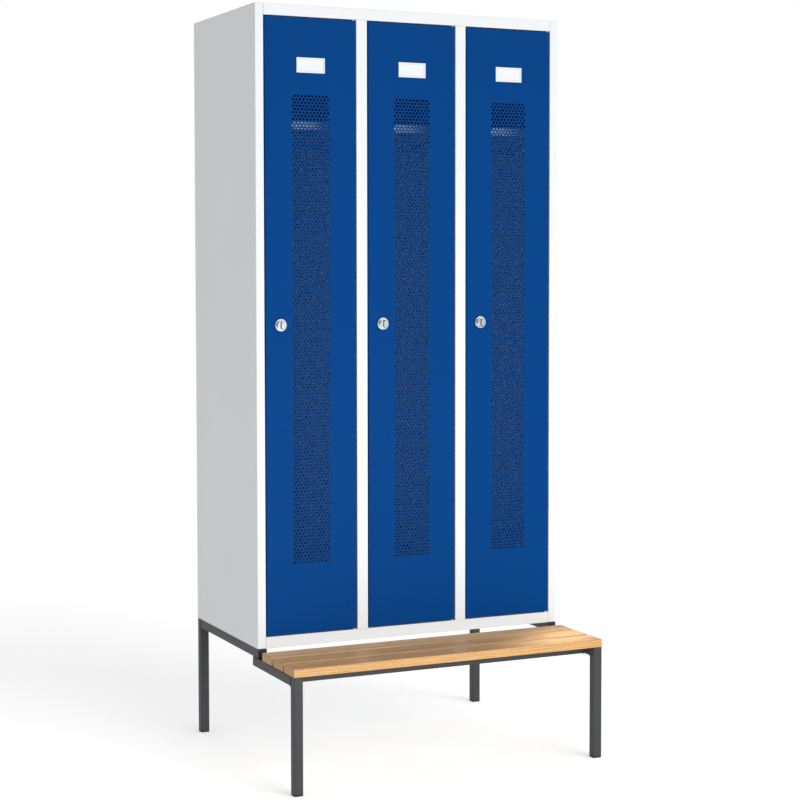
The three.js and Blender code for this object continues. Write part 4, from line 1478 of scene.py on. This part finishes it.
def seat_slat(node, sizes):
    """A planed board: its rounded section carried along X, drawn in over a quarter circle at both
    ends."""
    low, high, middle = span(node)
    half = (high - low) / 2
    turn = np.linspace(0, math.pi / 2, 5)
    inset = sizes.slat_end_round * (1 - np.sin(turn))
    step = sizes.slat_end_round * (1 - np.cos(turn))
    left = np.stack([inset, low[X] + step], 1)
    right = np.stack([inset, high[X] - step], 1)[::-1]
    profile = np.concatenate([left, right])
    loops = np.stack([
        rounded_rectangle(half[Y] - draw, half[Z] - draw, sizes.slat_round, steps=6) for draw, _ in profile
    ]) + middle[[Y, Z]]
    place = profile[:, 1, None] + 0 * loops[..., 0]
    dress_node(node, lofted(in_axes(loops[..., 0], loops[..., 1], place, (Y, Z, X))))


def slat_screws(sizes):
    """Screws that hold each slat from below, through both seat rails."""
    shapes = []
    for end, _ in SIDES:
        rail_low, _, rail_middle = span(f"seat_rail_{end}")
        for slat in numbered("seat_slat"):
            along = max(span(slat)[2][Y], rail_low[Y] + sizes.slat_screw_margin)
            place = np.array([rail_middle[X], along, rail_low[Z]])
            shapes.append(screw_shape(place, Z, -1, sizes.slat_screw / 2))
    return joined(*shapes)


class LOCKER_OT_bench(bpy.types.Operator):
    """The bench's slats and the screws under them"""

    bl_idname = "locker.bench"
    bl_label = "Bench"

    def execute(self, context):
        sizes = context.scene.locker_fittings
        for node in numbered("seat_slat"):
            seat_slat(node, sizes)
        add_detail("slat_screws", slat_screws(sizes), "zinc_plate")
        return {"FINISHED"}


# Stage

FLOOR_HALF_WIDTH = 30.0
CAMERA_REACH = 200.0


def studio_ground(colours):
    """A flat square of floor, far wider than the picture, whose middle is under the locker."""
    half = FLOOR_HALF_WIDTH
    corners = np.array([(-half, -half, 0), (half, -half, 0), (half, half, 0), (-half, half, 0)])
    mesh = mesh_from("studio_floor", corners, [np.array([[0, 1, 2, 3]])])
    ground = bpy.data.objects.new("studio_floor", mesh)
    bpy.context.scene.collection.objects.link(ground)
    mesh.materials.append(studio_floor(colours.floor))


def surroundings(strength):
    """White all round: an even light on the object, and pure white where the camera sees past it."""
    world = bpy.data.worlds.new("white_studio")
    bpy.context.scene.world = world
    world.use_nodes = True
    tree = world.node_tree
    tree.nodes.clear()
    light = add_node(tree, "ShaderNodeBackground", {"Color": (1, 1, 1, 1), "Strength": strength})
    seen = add_node(tree, "ShaderNodeBackground", {"Color": (1, 1, 1, 1), "Strength": 1.0})
    path = add_node(tree, "ShaderNodeLightPath")
    chosen = add_node(
        tree, "ShaderNodeMixShader",
        links={0: path.outputs["Is Camera Ray"], 1: light.outputs[0], 2: seen.outputs[0]},
    )
    add_node(tree, "ShaderNodeOutputWorld", links={"Surface": chosen.outputs[0]})


def add_light(name, kind, energy, place, towards):
    """A light at a place, turned towards a point."""
    data = bpy.data.lights.new(name, kind)
    data.energy = energy
    light = bpy.data.objects.new(name, data)
    light.location = place
    light.visible_camera = False
    light.rotation_euler = (Vector(towards) - Vector(place)).to_track_quat("-Z", "Y").to_euler()
    bpy.context.scene.collection.objects.link(light)
    return data


def studio_lights(stage):
    """A wide soft key light from the front, right and above, as of a large diffuser; a low one in
    front, which brightens the foot of the doors and the bench's edge; and a narrow soft one from
    behind on the right, which passes the locker's corner and brightens the bench's right end."""
    key = add_light("key_light", "SUN", stage.key, stage.key_place, stage.key_target)
    key.angle = stage.key_spread
    edge = add_light("edge_light", "SPOT", stage.edge, stage.edge_place, stage.edge_target)
    edge.spot_size = stage.edge_cone
    edge.spot_blend = 1.0
    edge.shadow_soft_size = stage.edge_size
    fill = add_light("fill_light", "AREA", stage.fill, stage.fill_place, stage.fill_target)
    fill.shape = "RECTANGLE"
    fill.size, fill.size_y = stage.fill_size


def studio_camera(stage):
    """The camera at its station, looking along its heading and tilt, its picture moved by the shift
    that the photograph's framing needs."""
    data = bpy.data.cameras.new("camera")
    data.sensor_width = stage.sensor
    data.lens = stage.lens
    data.shift_x, data.shift_y = stage.shift
    data.clip_end = CAMERA_REACH
    camera = bpy.data.objects.new("camera", data)
    camera.location = stage.station
    level = math.cos(stage.tilt)
    east, north = math.sin(stage.heading), math.cos(stage.heading)
    looking = Vector((east * level, north * level, -math.sin(stage.tilt)))
    camera.rotation_euler = looking.to_track_quat("-Z", "Y").to_euler()
    bpy.context.scene.collection.objects.link(camera)
    bpy.context.scene.camera = camera


class LOCKER_OT_stage(bpy.types.Operator):
    """Pale floor, soft studio light and the camera"""

    bl_idname = "locker.stage"
    bl_label = "Stage"

    def execute(self, context):
        scene = context.scene
        scene.view_settings.view_transform = "Standard"
        studio_ground(scene.locker_finishes)
        surroundings(scene.locker_stage.ambient)
        studio_lights(scene.locker_stage)
        studio_camera(scene.locker_stage)
        return {"FINISHED"}


# Add-on

OPERATORS = (
    LOCKER_OT_stage,
    LOCKER_OT_carcass,
    LOCKER_OT_fittings,
    LOCKER_OT_doors,
    LOCKER_OT_labels,
    LOCKER_OT_locks,
    LOCKER_OT_hinge_pins,
    LOCKER_OT_underframe,
    LOCKER_OT_bench,
)

GROUPS = {
    "locker_sheet": LockerSheetSizes,
    "locker_doors": LockerDoorSizes,
    "locker_fittings": LockerFittingSizes,
    "locker_finishes": LockerFinishes,
    "locker_stage": LockerStage,
}


class LOCKER_PT_panel(bpy.types.Panel):
    """Lists the steps and the sizes of the locker"""

    bl_label = "Locker"
    bl_idname = "LOCKER_PT_panel"
    bl_space_type = "VIEW_3D"
    bl_region_type = "UI"
    bl_category = "Locker"

    def draw(self, context):
        for operator in OPERATORS:
            self.layout.operator(operator.bl_idname)
        for name, group in GROUPS.items():
            box = self.layout.box()
            box.label(text=group.__doc__)
            for field in group.__annotations__:
                box.prop(getattr(context.scene, name), field)


def register():
    for kind in (*GROUPS.values(), *OPERATORS, LOCKER_PT_panel):
        bpy.utils.register_class(kind)
    for name, group in GROUPS.items():
        setattr(bpy.types.Scene, name, bpy.props.PointerProperty(type=group))


def unregister():
    for name in GROUPS:
        delattr(bpy.types.Scene, name)
    for kind in reversed((*GROUPS.values(), *OPERATORS, LOCKER_PT_panel)):
        bpy.utils.unregister_class(kind)


def main():
    register()
    for operator in OPERATORS:
        step = getattr(bpy.ops.locker, operator.bl_idname.split(".")[1])
        if step() != {"FINISHED"}:
            raise RuntimeError(f"{operator.bl_label} did not finish")
    bpy.context.view_layer.update()


if __name__ == "__main__":
    main()
